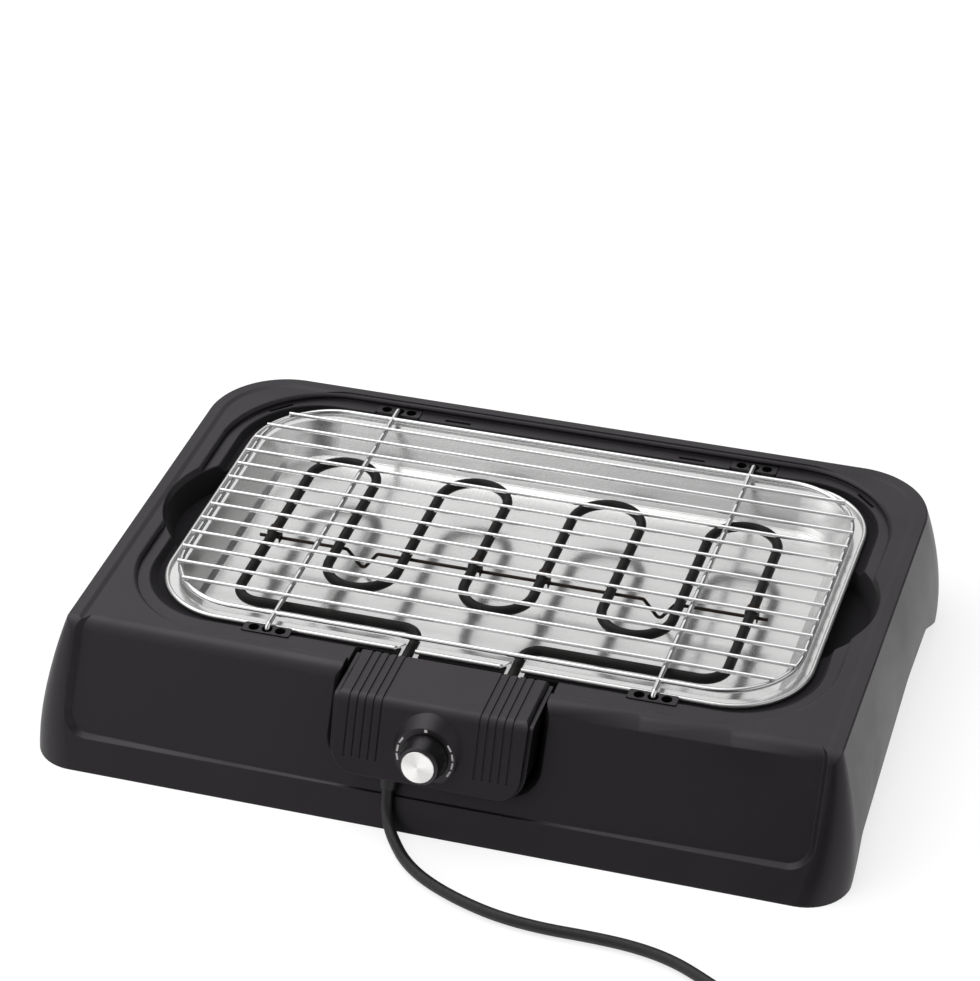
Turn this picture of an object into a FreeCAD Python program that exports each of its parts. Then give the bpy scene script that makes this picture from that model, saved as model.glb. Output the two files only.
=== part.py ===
"""Open tabletop electric grill: housing, drip tray, tube heater with control box, wire grid, cord and plug.

Millimetres. X runs to the right, Y to the back, Z up from the table. While it is modelled, X = Y = 0 is the
middle of the grid; the finished solids are moved so that the origin is the middle of the grill's own footprint.
"""
import FreeCAD
import Part
import math
import os

Vector = FreeCAD.Vector
UP = Vector(0, 0, 1)

# Housing shell
FOOT_HALF_FRONT = 252.5
FOOT_HALF_BACK = 248.0
FOOT_FRONT_Y = -201.3
FOOT_BACK_Y = 147.0
FOOT_FRONT_RADIUS = 28.0
FOOT_BACK_RADIUS = 62.0
DECK_HALF = 238.7
DECK_FRONT_Y = -156.7
DECK_BACK_Y = 140.8
DECK_FRONT_RADIUS = 5.0
DECK_BACK_RADIUS = 50.0
DECK_Z = 77.5
WALL = 3.0
WALL_BULGE = 3.8
BULGE_SKEW = 0.87
WALL_SECTIONS = 5
FRONT_WALL = 8.5
CREASE_RADIUS = 12.0
CREASE_OVERLAP = 0.12
TOP_EDGE_RADIUS = 1.2

# Raised rim round the deck, open at the front
RIM_HEIGHT = 0.9
RIM_WIDTH = 7.0
RIM_SLOPE = 3.0

# Grip arch in the lower edge of each side
ARCH_FRONT_Y = -176.0
ARCH_FRONT_SHOULDER_Y = -148.0
ARCH_FRONT_HEIGHT = 18.0
ARCH_TOP_Y = -5.0
ARCH_HEIGHT = 28.0
ARCH_BACK_SHOULDER_Y = 52.0
ARCH_BACK_HEIGHT = 25.0
ARCH_BACK_Y = 98.0
ARCH_CORNER = 14.0
ARCH_CROWN = 120.0

# Sunk panel on the sloping front
PANEL_HALF = 231.5
PANEL_BOTTOM_Z = 17.5
PANEL_CORNER = 16.0
PANEL_SET_BACK = 1.4
PANEL_BOW = 3.0
PANEL_DRAFT = 0.8

# Deck: step down to the ledge, opening for the tray, shelf that carries the tray
STEP_HALF = 219.4
STEP_FRONT_Y = -143.2
STEP_BACK_Y = 132.2
STEP_RADIUS = 68.0
STEP_HEIGHT = 3.7
STEP_ROUNDING = 3.0
SHELF_DROP = 4.8
OPENING_GAP_X = 4.5
OPENING_GAP_Y = 1.3
OPENING_RADIUS = 52.0
OPENING_FLARE_X = 3.0
OPENING_FLARE_FRONT = 6.7
SHELF_GAP = 1.0

# Finger recesses beside the tray
RECESS_RADIUS = 65.0
RECESS_X = 164.0
RECESS_Y = -8.3
RECESS_DEPTH = 19.5
RECESS_DRAFT = 6.0

# Slots on the ledge at the back
SLOT_LENGTH = 17.0
SLOT_WIDTH = 2.2
SLOT_X = 79.0
SLOT_Y = 126.0
CORNER_SLOT_X = 196.5
CORNER_SLOT_Y = 110.5

# Drip tray
TRAY_HALF_X = 204.5
TRAY_HALF_Y = 121.0
TRAY_RADIUS = 50.0
TRAY_FLANGE = 9.0
TRAY_SLOPE = 10.0
TRAY_FLOOR_BEVEL = 3.0
TRAY_DEPTH = 20.0
TRAY_SHEET = 1.0
TRAY_BEAD = 3.0
BEAD_LIFT = 0.3
NOTCH_HALF = 6.5
NOTCH_CLEARANCE = 3.8
TRAY_NOTCH_HALF = 4.3
TRAY_NOTCH_SLANT = 5.2

# Grid blocks
BLOCK_LENGTH = 30.0
BLOCK_DEPTH = 9.0
BLOCK_HEIGHT = 11.6
BLOCK_PROUD = 0.6
BLOCK_MARGIN = 0.5
BLOCK_CORNER = 1.5
BLOCK_FIT = 0.15
BLOCK_BOSS = 2.5
HOLE_DIAMETER = 6.6
HOLE_PITCH = 8.4
HOLE_DEPTHS = (4.0, 7.0, 10.0)

# Grid
BAR_X = 120.0
BAR_DIAMETER = 3.4
BAR_BEND = 3.7
BAR_CLEARANCE = 0.2
LEG_CLEARANCE = 0.2
LOOP_HALF_X = 196.0
LOOP_HALF_Y = 113.4
LOOP_RADIUS = 48.0
WIRE_DIAMETER = 2.4
WIRE_COUNT = 13
WELD_GAP = 0.05

# Heating element with its support wire
ELEMENT_DIAMETER = 6.4
ELEMENT_PITCH = 44.0
ELEMENT_COLUMNS = 8
ELEMENT_HEIGHT = 19.0
ELEMENT_BACK_Y = 67.7
ELEMENT_FRONT_Y = -64.3
ELEMENT_RUN_Y = -95.3
ELEMENT_CORNER = 15.0
LEG_X = 33.0
LEG_BEND = 11.0
LEG_INSIDE = 8.0
PIN_DIAMETER = 2.6
PIN_LENGTH = 8.0
SUPPORT_DIAMETER = 2.2
SUPPORT_Y = -20.3
SUPPORT_OVERHANG = 10.0
SUPPORT_FOOT_X = 96.0
SUPPORT_FOOT_HALF = 10.0
SUPPORT_BEND = 2.5
SUPPORT_CLEARANCE = 0.3
CLIP_WIDTH = 6.0
CLIP_SHEET = 0.8
CLIP_FIT = 0.06
CLIP_COLUMNS = (0, 3, 4, 7)

# Control box: a cover in front of a slightly wider base
BOX_HALF_COVER = 58.5
BOX_HALF_BASE = 61.0
BOX_TAPER = 1.5
BOX_WALL = 2.5
BOX_HEIGHT = 43.0
BOX_TOP_LENGTH = 44.5
BOX_LEAN = 19.6
BOX_CREASE = 8.0
BOX_CORNER = 13.0
BOX_EDGE = 2.5
BOX_PARTING = 3.0
SADDLE_GAP = 10.0
SADDLE_LENGTH = 9.5
ELEMENT_TO_TOP = 7.0
ELEMENT_TO_SADDLE = 9.0
LEG_HOLE_CLEARANCE = 0.3
POCKET_GAP = 2.0
POCKET_BACK_GAP = 1.5
POCKET_ROUNDING = 5.0
MOUTH_BITE = 0.35
GROOVE_COUNT = 5
GROOVE_PITCH = 5.0
GROOVE_INNER_X = 30.0
GROOVE_WIDTH = 1.6
GROOVE_DEPTH = 0.8
GROOVE_END = 34.0
DIAL_DROP = 24.5
DIAL_PROUD = 3.9
DIAL_TILT = 11.0
DIAL_RADIUS = 18.5
DIAL_FLARE = 0.58
DIAL_WALL = 2.5
DIAL_DEPTH = 16.0

# Inside the control box
THERMOSTAT_RADIUS = 12.4
THERMOSTAT_LENGTH = 16.0
BUSHING_RADIUS = 5.0
BUSHING_FIT = 0.1
SHAFT_DIAMETER = 6.0
SHAFT_FIT = 0.06
SHAFT_INSIDE = 10.0
BRACKET_SHEET = 1.5
BRACKET_MARGIN = 8.0
BRACKET_FIT = 0.1
BRACKET_HALF_HEIGHT = 4.5
TERMINAL_LENGTH = 32.0
TERMINAL_DEPTH = 15.0
TERMINAL_HEIGHT = 14.0
TERMINAL_X = -24.0
TERMINAL_LIFT = 7.0
LEAD_DIAMETER = 2.4
LEAD_BEND = 4.0
LEAD_REACH = 9.0
LEAD_SIDE = 7.0
LEAD_GAP = 0.4
POST_X = 48.0
POST_RADIUS = 3.6
POST_LOW = 9.0
POST_HIGH = 27.0
SCREW_DIAMETER = 3.0
SCREW_LENGTH = 14.0
SCREW_HEAD_RADIUS = 2.8
SCREW_HEAD_HEIGHT = 1.8
SCREW_CLEARANCE = 0.2
SCREW_BOSS_RADIUS = 5.0
SCREW_BOSS_LENGTH = 5.0

# Knob on the thermostat's shaft
KNOB_RADIUS = 14.5
KNOB_TOP_RADIUS = 12.0
KNOB_HEIGHT = 13.0
KNOB_GAP = 0.6
KNOB_WALL = 1.8
KNOB_ROOF = 3.0
KNOB_HUB_RADIUS = 5.5
KNOB_EDGE = 1.0
CAP_RADIUS = 10.0
CAP_HEIGHT = 1.6
CAP_SEAT = 0.8
CAP_FIT = 0.05

# Cord, gland and plug
CORD_DIAMETER = 7.0
GLAND_X = -23.3
GLAND_FROM_FRONT = 7.3
GLAND_LENGTH = 10.0
GLAND_INSIDE = 5.0
GLAND_RADIUS = 5.6
GLAND_TIP_RADIUS = 4.7
GLAND_FIT = 0.05
CORD_INNER_BEND = 14.0
TABLE_Z = CORD_DIAMETER / 2
COIL_HEADING = -35.0
COIL_OUTER = 49.5
COIL_STEP = 4.6
COIL_HALF_TURNS_IN = 5
COIL_HALF_TURNS_OUT = 4
COIL_LAYER = 7.6
COIL_Z = 4.8
TIE_ANGLE = 135.0
TIE_WIDTH = 8.0
TIE_SHEET = 0.9
TIE_CLEARANCE = 0.35
TIE_SIDE_CLEARANCE = 1.2
PLUG_AXIS_Z = 18.6
PLUG_RADIUS = 18.5
PLUG_HEAD = 15.0
PLUG_CONE = 19.0
PLUG_NECK = 18.0
PLUG_NECK_RADIUS = 5.2
PLUG_NECK_BASE_RADIUS = 7.5
PLUG_PIN_DIAMETER = 4.8
PLUG_PIN_LENGTH = 19.0
PLUG_PIN_SPACING = 19.0

# Levels and places that follow from the sizes above
RIM_Z = DECK_Z + RIM_HEIGHT
LEDGE_Z = DECK_Z - STEP_HEIGHT
SHELF_Z = LEDGE_Z - SHELF_DROP
FLANGE_Z = SHELF_Z + TRAY_SHEET
TRAY_FLOOR_Z = FLANGE_Z - TRAY_DEPTH
ELEMENT_Z = TRAY_FLOOR_Z + ELEMENT_HEIGHT
OPENING_HALF_X = TRAY_HALF_X + OPENING_GAP_X
OPENING_HALF_Y = TRAY_HALF_Y + OPENING_GAP_Y
BLOCK_Y = OPENING_HALF_Y + BLOCK_MARGIN + BLOCK_DEPTH / 2
BLOCK_TOP_Z = LEDGE_Z + BLOCK_PROUD
BLOCK_BOTTOM_Z = BLOCK_TOP_Z - BLOCK_HEIGHT
LOOP_Z = BLOCK_TOP_Z + BAR_CLEARANCE + BAR_DIAMETER / 2
WIRE_Z = LOOP_Z + BAR_DIAMETER / 2 + WELD_GAP + WIRE_DIAMETER / 2
BOX_TOP_Z = ELEMENT_Z + ELEMENT_TO_TOP
BOX_BOTTOM_Z = BOX_TOP_Z - BOX_HEIGHT
SADDLE_Z = ELEMENT_Z - ELEMENT_TO_SADDLE
BOX_BACK_Y = -OPENING_HALF_Y - SADDLE_GAP
BOX_REAR_Y = BOX_BACK_Y - SADDLE_LENGTH
BOX_CREASE_Y = BOX_BACK_Y - BOX_TOP_LENGTH
BOX_INNER_REAR_Y = BOX_REAR_Y - BOX_WALL
LEG_END_Y = BOX_REAR_Y - LEG_INSIDE
PIN_END_Y = LEG_END_Y - PIN_LENGTH
DIAL_Z = BOX_TOP_Z - DIAL_DROP
DIAL_Y = BOX_CREASE_Y - DIAL_DROP * BOX_LEAN / BOX_HEIGHT - DIAL_PROUD
TERMINAL_Z = BOX_BOTTOM_Z + TERMINAL_LIFT
TERMINAL_FRONT_Y = BOX_INNER_REAR_Y - TERMINAL_DEPTH
FAR = 2 * (FOOT_HALF_FRONT + abs(FOOT_FRONT_Y))


def corner_arc(start, tip, end):
    """Arc from start to end whose two tangents meet at tip."""
    middle = (start + end) * 0.5
    half = (end - start).Length / 2
    rise = (tip - middle).Length
    bulge = half * math.tan(math.atan2(rise, half) / 2)
    return Part.Arc(start, middle + (tip - middle) * (bulge / rise), end).toShape()


def bend_points(before, corner, after, radius):
    """Tangent points of an arc of this radius at a corner."""
    back = (before - corner).normalize()
    on = (after - corner).normalize()
    reach = radius / math.tan(back.getAngle(on) / 2)
    return corner + back * reach, corner + on * reach


def add_line(edges, start, end):
    """Straight edge, left out where two arcs meet directly."""
    if (end - start).Length > 1e-6:
        edges.append(Part.LineSegment(start, end).toShape())


def closed_loop(points, radii):
    """Closed wire through corner points, each rounded by its own radius."""
    count = len(points)
    bends = []
    for index in range(count):
        neighbours = points[index - 1], points[(index + 1) % count]
        bends.append(bend_points(neighbours[0], points[index], neighbours[1], radii[index]))
    edges = []
    for index in range(count):
        start, end = bends[index]
        if radii[index] > 0:
            edges.append(corner_arc(start, points[index], end))
        add_line(edges, end, bends[(index + 1) % count][0])
    return Part.Wire(edges)


def open_path(points, radii):
    """Edges of an open path: straight runs joined by tangent arcs at the inner points."""
    edges = []
    last = points[0]
    for index in range(1, len(points) - 1):
        start, end = bend_points(points[index - 1], points[index], points[index + 1], radii[index - 1])
        add_line(edges, last, start)
        edges.append(corner_arc(start, points[index], end))
        last = end
    add_line(edges, last, points[-1])
    return edges


def biarc(start, start_way, end, end_way):
    """Two tangent arcs that leave start along start_way and reach end along end_way."""
    across = end - start
    ways = start_way + end_way
    square = ways.dot(ways) - 4
    linear = -2 * across.dot(ways)
    rest = across.dot(across)
    reach = (-linear - math.sqrt(linear * linear - 4 * square * rest)) / (2 * square)
    first_tip = start + start_way * reach
    last_tip = end - end_way * reach
    middle = (first_tip + last_tip) * 0.5
    return [corner_arc(start, first_tip, middle), corner_arc(middle, last_tip, end)]


def tube(edges, diameter):
    """Round bar swept along a chain of edges."""
    start = edges[0].valueAt(edges[0].FirstParameter)
    way = edges[0].tangentAt(edges[0].FirstParameter)
    ring = Part.Wire(Part.makeCircle(diameter / 2, start, way))
    return Part.Wire(edges).makePipeShell([ring], True, False)


def block(x0, x1, y0, y1, z0, z1):
    """Box between two corners."""
    return Part.makeBox(x1 - x0, y1 - y0, z1 - z0, Vector(x0, y0, z0))


def plan(half_front, half_back, front_y, back_y, front_radius, back_radius, z):
    """Four-sided outline seen from above, with rounded corners, at height z."""
    points = [
        Vector(-half_front, front_y, z),
        Vector(half_front, front_y, z),
        Vector(half_back, back_y, z),
        Vector(-half_back, back_y, z),
    ]
    return closed_loop(points, [front_radius, front_radius, back_radius, back_radius])


def even_plan(half_x, half_y, radius, z):
    """Rounded rectangle about the grid's middle."""
    return plan(half_x, half_x, -half_y, half_y, radius, radius, z)


def prism(wire, height):
    """Solid above a flat outline."""
    return Part.Face(wire).extrude(UP * height)


def loft(wires):
    """Solid with straight walls between outlines."""
    return Part.makeLoft(wires, True, True)


def turned(profile, start, way):
    """Solid of revolution of (radius, height) points about an axis through start along way."""
    points = [Vector(radius, 0, height) for radius, height in profile]
    face = Part.Face(Part.makePolygon(points + points[:1]))
    solid = face.revolve(Vector(0, 0, 0), UP, 360)
    solid.Placement = FreeCAD.Placement(start, FreeCAD.Rotation(UP, way))
    return solid


def joined(shapes):
    """One solid from shapes that overlap."""
    return shapes[0].multiFuse(shapes[1:]).removeSplitter()


def solids(shapes):
    """Group of separate solids."""
    return Part.makeCompound(shapes)


def mirrored(shape):
    """Copy on the other side of the middle plane."""
    return shape.mirror(Vector(0, 0, 0), Vector(1, 0, 0))


def both_sides(shapes):
    """The shapes and their mirror images."""
    return shapes + [mirrored(shape) for shape in shapes]


# Housing


def soft_mouth(outline, radius, rise):
    """Cutters that round the edge of a mouth; outline gives its wire, grown, at a depth below the surface.

    The rounding starts a little inside the mouth, so that it meets the wall at an angle.
    """
    steps = []
    for degrees in (0, 30, 60, 80):
        angle = math.radians(degrees)
        steps.append((radius * (1 - math.cos(angle)) - MOUTH_BITE, radius * (1 - math.sin(angle))))
    throat = Part.makeLoft([outline(grow, depth) for grow, depth in steps], True, False)
    grow, depth = steps[-1]
    return [throat, loft([outline(grow, depth), outline(grow, -rise)])]


def front_slope():
    """Lean of the front: how far it runs back for each millimetre of height."""
    return (DECK_FRONT_Y - FOOT_FRONT_Y) / DECK_Z


def front_y(z):
    """Place of the sloping front at height z."""
    return FOOT_FRONT_Y + z * front_slope()


def crease_profile(set_back, top_z, bottom_z):
    """Space in front of a rounded crease and the slope below it, as a face in the middle plane."""
    crease = Vector(0, front_y(top_z) + set_back, top_z)
    above = crease + Vector(0, CREASE_RADIUS * 3, 0)
    below = Vector(0, front_y(bottom_z) + set_back, bottom_z)
    start, end = bend_points(above, crease, below, CREASE_RADIUS)
    out = Vector(0, -1, front_slope()).normalize() * (CREASE_RADIUS * 2)
    over = UP * (CREASE_RADIUS * 2)
    low = below if set_back > 0 else end
    edges = [corner_arc(start, crease, end)]
    corners = [end, low, low + out, crease + out + over, start + over, start]
    for first, second in zip(corners, corners[1:]):
        add_line(edges, first, second)
    return Part.Face(Part.Wire(edges))


def crease_cutter():
    """Rounds the crease between rim and front along the whole width."""
    face = crease_profile(0, RIM_Z + CREASE_OVERLAP, 0)
    face.translate(Vector(-FAR / 2, 0, 0))
    return face.extrude(Vector(FAR, 0, 0))


def panel_outline(out):
    """Outline of the sunk panel on a plane out in front of the slope; it narrows with depth."""
    half = PANEL_HALF + PANEL_DRAFT * out
    low = PANEL_BOTTOM_Z - PANEL_DRAFT * out
    high = 2 * DECK_Z
    away = Vector(0, -1, front_slope()).normalize() * out
    corners = [Vector(x, front_y(z), z) + away for x, z in ((-half, low), (half, low), (half, high), (-half, high))]
    corner = PANEL_CORNER + PANEL_DRAFT * out
    return closed_loop(corners, [corner, corner, 0, 0])


def panel_cutter():
    """Sunk front panel: its floor is bowed, so it lies deepest at the two ends."""
    bow_radius = (PANEL_HALF ** 2 + PANEL_BOW ** 2) / (2 * PANEL_BOW)
    centre = Vector(0, DECK_FRONT_Y + PANEL_SET_BACK + bow_radius, 0)
    sweep = 2 * math.degrees(math.asin(PANEL_HALF / bow_radius)) * 1.1
    face = crease_profile(PANEL_SET_BACK, DECK_Z + CREASE_OVERLAP, PANEL_BOTTOM_Z - PANEL_CORNER)
    face.rotate(centre, UP, -sweep / 2)
    bowed = face.revolve(centre, UP, sweep)
    return bowed.common(loft([panel_outline(-PANEL_CORNER), panel_outline(PANEL_CORNER)]))


def shell_plan(z, inset, front_inset):
    """Outline of the shell at height z, drawn in: sides and back bulge between foot and rim, the front is flat."""
    share = z / RIM_Z
    skewed = share ** BULGE_SKEW
    bulge = 4 * WALL_BULGE * skewed * (1 - skewed)

    def between(foot, deck):
        return foot + (deck - foot) * share

    return plan(
        between(FOOT_HALF_FRONT, DECK_HALF) + bulge - inset,
        between(FOOT_HALF_BACK, DECK_HALF) + bulge - inset,
        front_y(z) + front_inset,
        between(FOOT_BACK_Y, DECK_BACK_Y) + bulge - inset,
        between(FOOT_FRONT_RADIUS, DECK_FRONT_RADIUS) - inset,
        between(FOOT_BACK_RADIUS, DECK_BACK_RADIUS) - inset,
        z,
    )


def shell_solid(inset, front_inset):
    """Smooth solid through the outlines, from the table to the rim."""
    levels = [RIM_Z * index / (WALL_SECTIONS - 1) for index in range(WALL_SECTIONS)]
    return Part.makeLoft([shell_plan(z, inset, front_inset) for z in levels], True, False)


def soft_shell():
    """The shell with its top edge rounded along the sides and the back."""
    shell = shell_solid(0, 0)
    middle_y = front_y(RIM_Z) + DECK_FRONT_RADIUS
    top = [edge for edge in shell.Edges if edge.BoundBox.ZMin > RIM_Z - 0.01 and edge.CenterOfMass.y > middle_y]
    return shell.makeFillet(TOP_EDGE_RADIUS, top)


def dish():
    """Space over the deck inside the raised rim, open to the front."""
    sections = []
    for inset, z in ((RIM_WIDTH + RIM_SLOPE, DECK_Z), (RIM_WIDTH, RIM_Z), (RIM_WIDTH, 2 * RIM_Z)):
        sections.append(
            plan(
                DECK_HALF - inset,
                DECK_HALF - inset,
                2 * FOOT_FRONT_Y,
                DECK_BACK_Y - inset,
                DECK_FRONT_RADIUS,
                DECK_BACK_RADIUS - inset,
                z,
            )
        )
    return loft(sections)


def side_arch():
    """Cut through both sides along the table: the arch that the hands reach under."""
    points = [
        Vector(-FAR / 2, ARCH_FRONT_Y, -WALL),
        Vector(-FAR / 2, ARCH_FRONT_Y, 0),
        Vector(-FAR / 2, ARCH_FRONT_SHOULDER_Y, ARCH_FRONT_HEIGHT),
        Vector(-FAR / 2, ARCH_TOP_Y, ARCH_HEIGHT),
        Vector(-FAR / 2, ARCH_BACK_SHOULDER_Y, ARCH_BACK_HEIGHT),
        Vector(-FAR / 2, ARCH_BACK_Y, 0),
        Vector(-FAR / 2, ARCH_BACK_Y, -WALL),
    ]
    radii = [0, 0, ARCH_CORNER, ARCH_CROWN, ARCH_CORNER, 0, 0]
    arch = Part.Face(closed_loop(points, radii)).extrude(Vector(FAR, 0, 0))
    keep = BOX_HALF_BASE + POCKET_GAP + 2 * WALL
    return arch.cut(block(-keep, keep, -FAR, FAR, -2 * WALL, DECK_Z))


def step_plan(grow, z):
    """Outline of the step from the deck down to the ledge."""
    half = STEP_HALF + grow
    radius = STEP_RADIUS + grow
    return plan(half, half, STEP_FRONT_Y - grow, STEP_BACK_Y + grow, radius, radius, z)


def step_space():
    """Room over the ledge, with the deck's edge rounded."""

    def outline(grow, depth):
        return step_plan(grow, DECK_Z - depth)

    return [prism(step_plan(0, LEDGE_Z), DECK_Z)] + soft_mouth(outline, STEP_ROUNDING, DECK_Z)


def opening_plan(grow, flare, z):
    """Outline of the tray's opening, with a share of its flare at the front and the sides."""
    half = OPENING_HALF_X + grow + flare * OPENING_FLARE_X
    front = -OPENING_HALF_Y - grow - flare * OPENING_FLARE_FRONT
    radius = OPENING_RADIUS + grow
    return plan(half, half, front, OPENING_HALF_Y + grow, radius, radius, z)


def opening_space(grow):
    """Room between shelf and ledge: its wall slopes at the front and the sides."""
    return loft([opening_plan(grow, 0, SHELF_Z), opening_plan(grow, 1, LEDGE_Z)])


def recess(grow):
    """Finger recess on the right: a round scoop with a little draft."""
    floor_z = DECK_Z - RECESS_DEPTH - grow
    height = RECESS_DEPTH + grow
    low = RECESS_RADIUS - RECESS_DRAFT + grow
    return Part.makeCone(low, RECESS_RADIUS + grow, height, Vector(RECESS_X, RECESS_Y, floor_z))


def block_boss(side):
    """Wall round the pocket of the grid block at the right, front (side -1) or back (side 1)."""
    half = BLOCK_LENGTH / 2 + BLOCK_FIT + BLOCK_BOSS
    edges = [side * OPENING_HALF_Y, side * (BLOCK_Y + BLOCK_DEPTH / 2 + BLOCK_FIT + BLOCK_BOSS)]
    return block(BAR_X - half, BAR_X + half, min(edges), max(edges), BLOCK_BOTTOM_Z - BLOCK_BOSS, LEDGE_Z)


def block_pocket(side):
    """Pocket for a grid block, open to the tray's opening."""
    half = BLOCK_LENGTH / 2 + BLOCK_FIT
    edges = [side * (OPENING_HALF_Y - BLOCK_FIT), side * (BLOCK_Y + BLOCK_DEPTH / 2 + BLOCK_FIT)]
    return block(BAR_X - half, BAR_X + half, min(edges), max(edges), BLOCK_BOTTOM_Z, DECK_Z)


def ledge_slots():
    """Four narrow slots on the ledge: two along the back edge, two across the back corners."""
    straight = block(
        -SLOT_LENGTH / 2, SLOT_LENGTH / 2, -SLOT_WIDTH / 2, SLOT_WIDTH / 2, SHELF_Z - WALL, DECK_Z
    )
    slanted = straight.copy()
    straight.translate(Vector(SLOT_X, SLOT_Y, 0))
    slanted.rotate(Vector(0, 0, 0), UP, -45)
    slanted.translate(Vector(CORNER_SLOT_X, CORNER_SLOT_Y, 0))
    return both_sides([straight, slanted])


def leg_notches(y0, y1):
    """Gaps for the element's two legs between y0 and y1."""
    low = ELEMENT_Z - ELEMENT_DIAMETER / 2 - NOTCH_CLEARANCE
    return both_sides([block(LEG_X - NOTCH_HALF, LEG_X + NOTCH_HALF, y0, y1, low, DECK_Z)])


def deep_pocket(grow, back_y, top_z):
    """Trough for the control box with rounded lower corners, open to the front."""
    half = BOX_HALF_BASE + POCKET_GAP + grow
    low = BOX_BOTTOM_Z - POCKET_GAP - grow
    points = [
        Vector(-half, -FAR, low),
        Vector(half, -FAR, low),
        Vector(half, -FAR, top_z),
        Vector(-half, -FAR, top_z),
    ]
    corner = BOX_CORNER + POCKET_GAP + grow
    return Part.Face(closed_loop(points, [corner, corner, 0, 0])).extrude(Vector(0, FAR + back_y, 0))


def pocket_mouth():
    """Rounding of the pocket's edge where it breaks through the sunk panel."""

    def outline(grow, depth):
        half = BOX_HALF_BASE + POCKET_GAP + grow
        low = BOX_BOTTOM_Z - POCKET_GAP - grow
        high = 2 * DECK_Z
        back = PANEL_SET_BACK + depth
        places = ((-half, low), (half, low), (half, high), (-half, high))
        corner = BOX_CORNER + POCKET_GAP + grow
        return closed_loop([Vector(x, front_y(z) + back, z) for x, z in places], [corner, corner, 0, 0])

    return soft_mouth(outline, POCKET_ROUNDING, CREASE_RADIUS)


def box_pocket_walls():
    """Solid that the pocket for the control box is cut from: floor, sides, back wall and saddle floor."""
    half = BOX_HALF_BASE + POCKET_GAP + WALL
    back_y = BOX_REAR_Y + POCKET_BACK_GAP + WALL
    saddle = block(-half, half, back_y - WALL, -OPENING_HALF_Y + WALL, SADDLE_Z - WALL, SHELF_Z)
    return [deep_pocket(WALL, back_y, DECK_Z), saddle]


def box_pocket_space():
    """Room for the control box: a deep pocket that opens to the front and a shallow saddle behind it."""
    half = BOX_HALF_BASE + POCKET_GAP
    wall_y = BOX_REAR_Y + POCKET_BACK_GAP
    saddle = block(-half, half, wall_y - WALL, -OPENING_HALF_Y, SADDLE_Z, DECK_Z * 2)
    return [deep_pocket(0, wall_y, DECK_Z * 2), saddle]


def make_housing():
    outer = soft_shell().cut(crease_cutter()).cut(panel_cutter()).cut(dish())
    cavity = shell_solid(WALL, FRONT_WALL)
    cavity = cavity.cut(block(-FAR, FAR, -FAR, FAR, DECK_Z - WALL, DECK_Z * 2))
    kept = [prism(step_plan(WALL, LEDGE_Z - WALL), DECK_Z), opening_space(WALL)]
    kept.append(prism(opening_plan(WALL, 0, SHELF_Z - WALL), WALL))
    kept += both_sides([recess(WALL), block_boss(-1), block_boss(1)])
    kept += box_pocket_walls()
    for shape in kept:
        cavity = cavity.cut(shape)
    hole = even_plan(
        TRAY_HALF_X - TRAY_FLANGE + TRAY_SHEET + SHELF_GAP,
        TRAY_HALF_Y - TRAY_FLANGE + TRAY_SHEET + SHELF_GAP,
        TRAY_RADIUS - TRAY_FLANGE + TRAY_SHEET + SHELF_GAP,
        0,
    )
    cuts = step_space() + [opening_space(0), prism(hole, DECK_Z)]
    cuts += both_sides([recess(0), block_pocket(-1), block_pocket(1)])
    cuts += box_pocket_space() + pocket_mouth() + ledge_slots() + [side_arch()]
    cuts += leg_notches(-OPENING_HALF_Y - WALL, -TRAY_HALF_Y + TRAY_FLANGE + TRAY_SLOPE)
    body = outer.cut(cavity)
    for shape in cuts:
        body = body.cut(shape)
    return body


def make_grid_block(side):
    """Grid block at the right: three blind holes of different depths, for three grid heights."""
    half_x = BLOCK_LENGTH / 2
    half_y = BLOCK_DEPTH / 2
    body = prism(even_plan(half_x, half_y, BLOCK_CORNER, BLOCK_BOTTOM_Z), BLOCK_HEIGHT)
    for index, depth in enumerate(HOLE_DEPTHS):
        place = Vector((index - 1) * HOLE_PITCH, 0, BLOCK_TOP_Z - depth)
        body = body.cut(Part.makeCylinder(HOLE_DIAMETER / 2, depth, place))
    body.translate(Vector(BAR_X, side * BLOCK_Y, 0))
    return body


# Drip tray


def tray_plan(inset, z):
    """Tray outline drawn in from the rim."""
    return even_plan(TRAY_HALF_X - inset, TRAY_HALF_Y - inset, TRAY_RADIUS - inset, z)


def tray_bowl(grow, floor_z):
    """Bowl of the tray: sloping wall, bevelled foot, flat floor."""
    inset = TRAY_FLANGE + TRAY_SLOPE - grow
    bevel_z = floor_z + TRAY_FLOOR_BEVEL
    return loft(
        [
            tray_plan(inset + TRAY_FLOOR_BEVEL, floor_z),
            tray_plan(inset, bevel_z),
            tray_plan(TRAY_FLANGE - grow, FLANGE_Z),
        ]
    )


def tray_notch(leg_x):
    """Gap in the tray's rim for one leg, slanted on its left side."""
    low = ELEMENT_Z - ELEMENT_DIAMETER / 2 - NOTCH_CLEARANCE
    front = -TRAY_HALF_Y - TRAY_SHEET
    back = -TRAY_HALF_Y + TRAY_FLANGE + TRAY_SLOPE
    left = leg_x - TRAY_NOTCH_HALF
    right = leg_x + TRAY_NOTCH_HALF
    inner = -TRAY_HALF_Y + TRAY_FLANGE
    places = [(left - TRAY_NOTCH_SLANT, front), (right, front), (right, back), (left, back), (left, inner)]
    outline = Part.makePolygon([Vector(x, y, low) for x, y in places + places[:1]])
    return prism(outline, DECK_Z - low)


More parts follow.
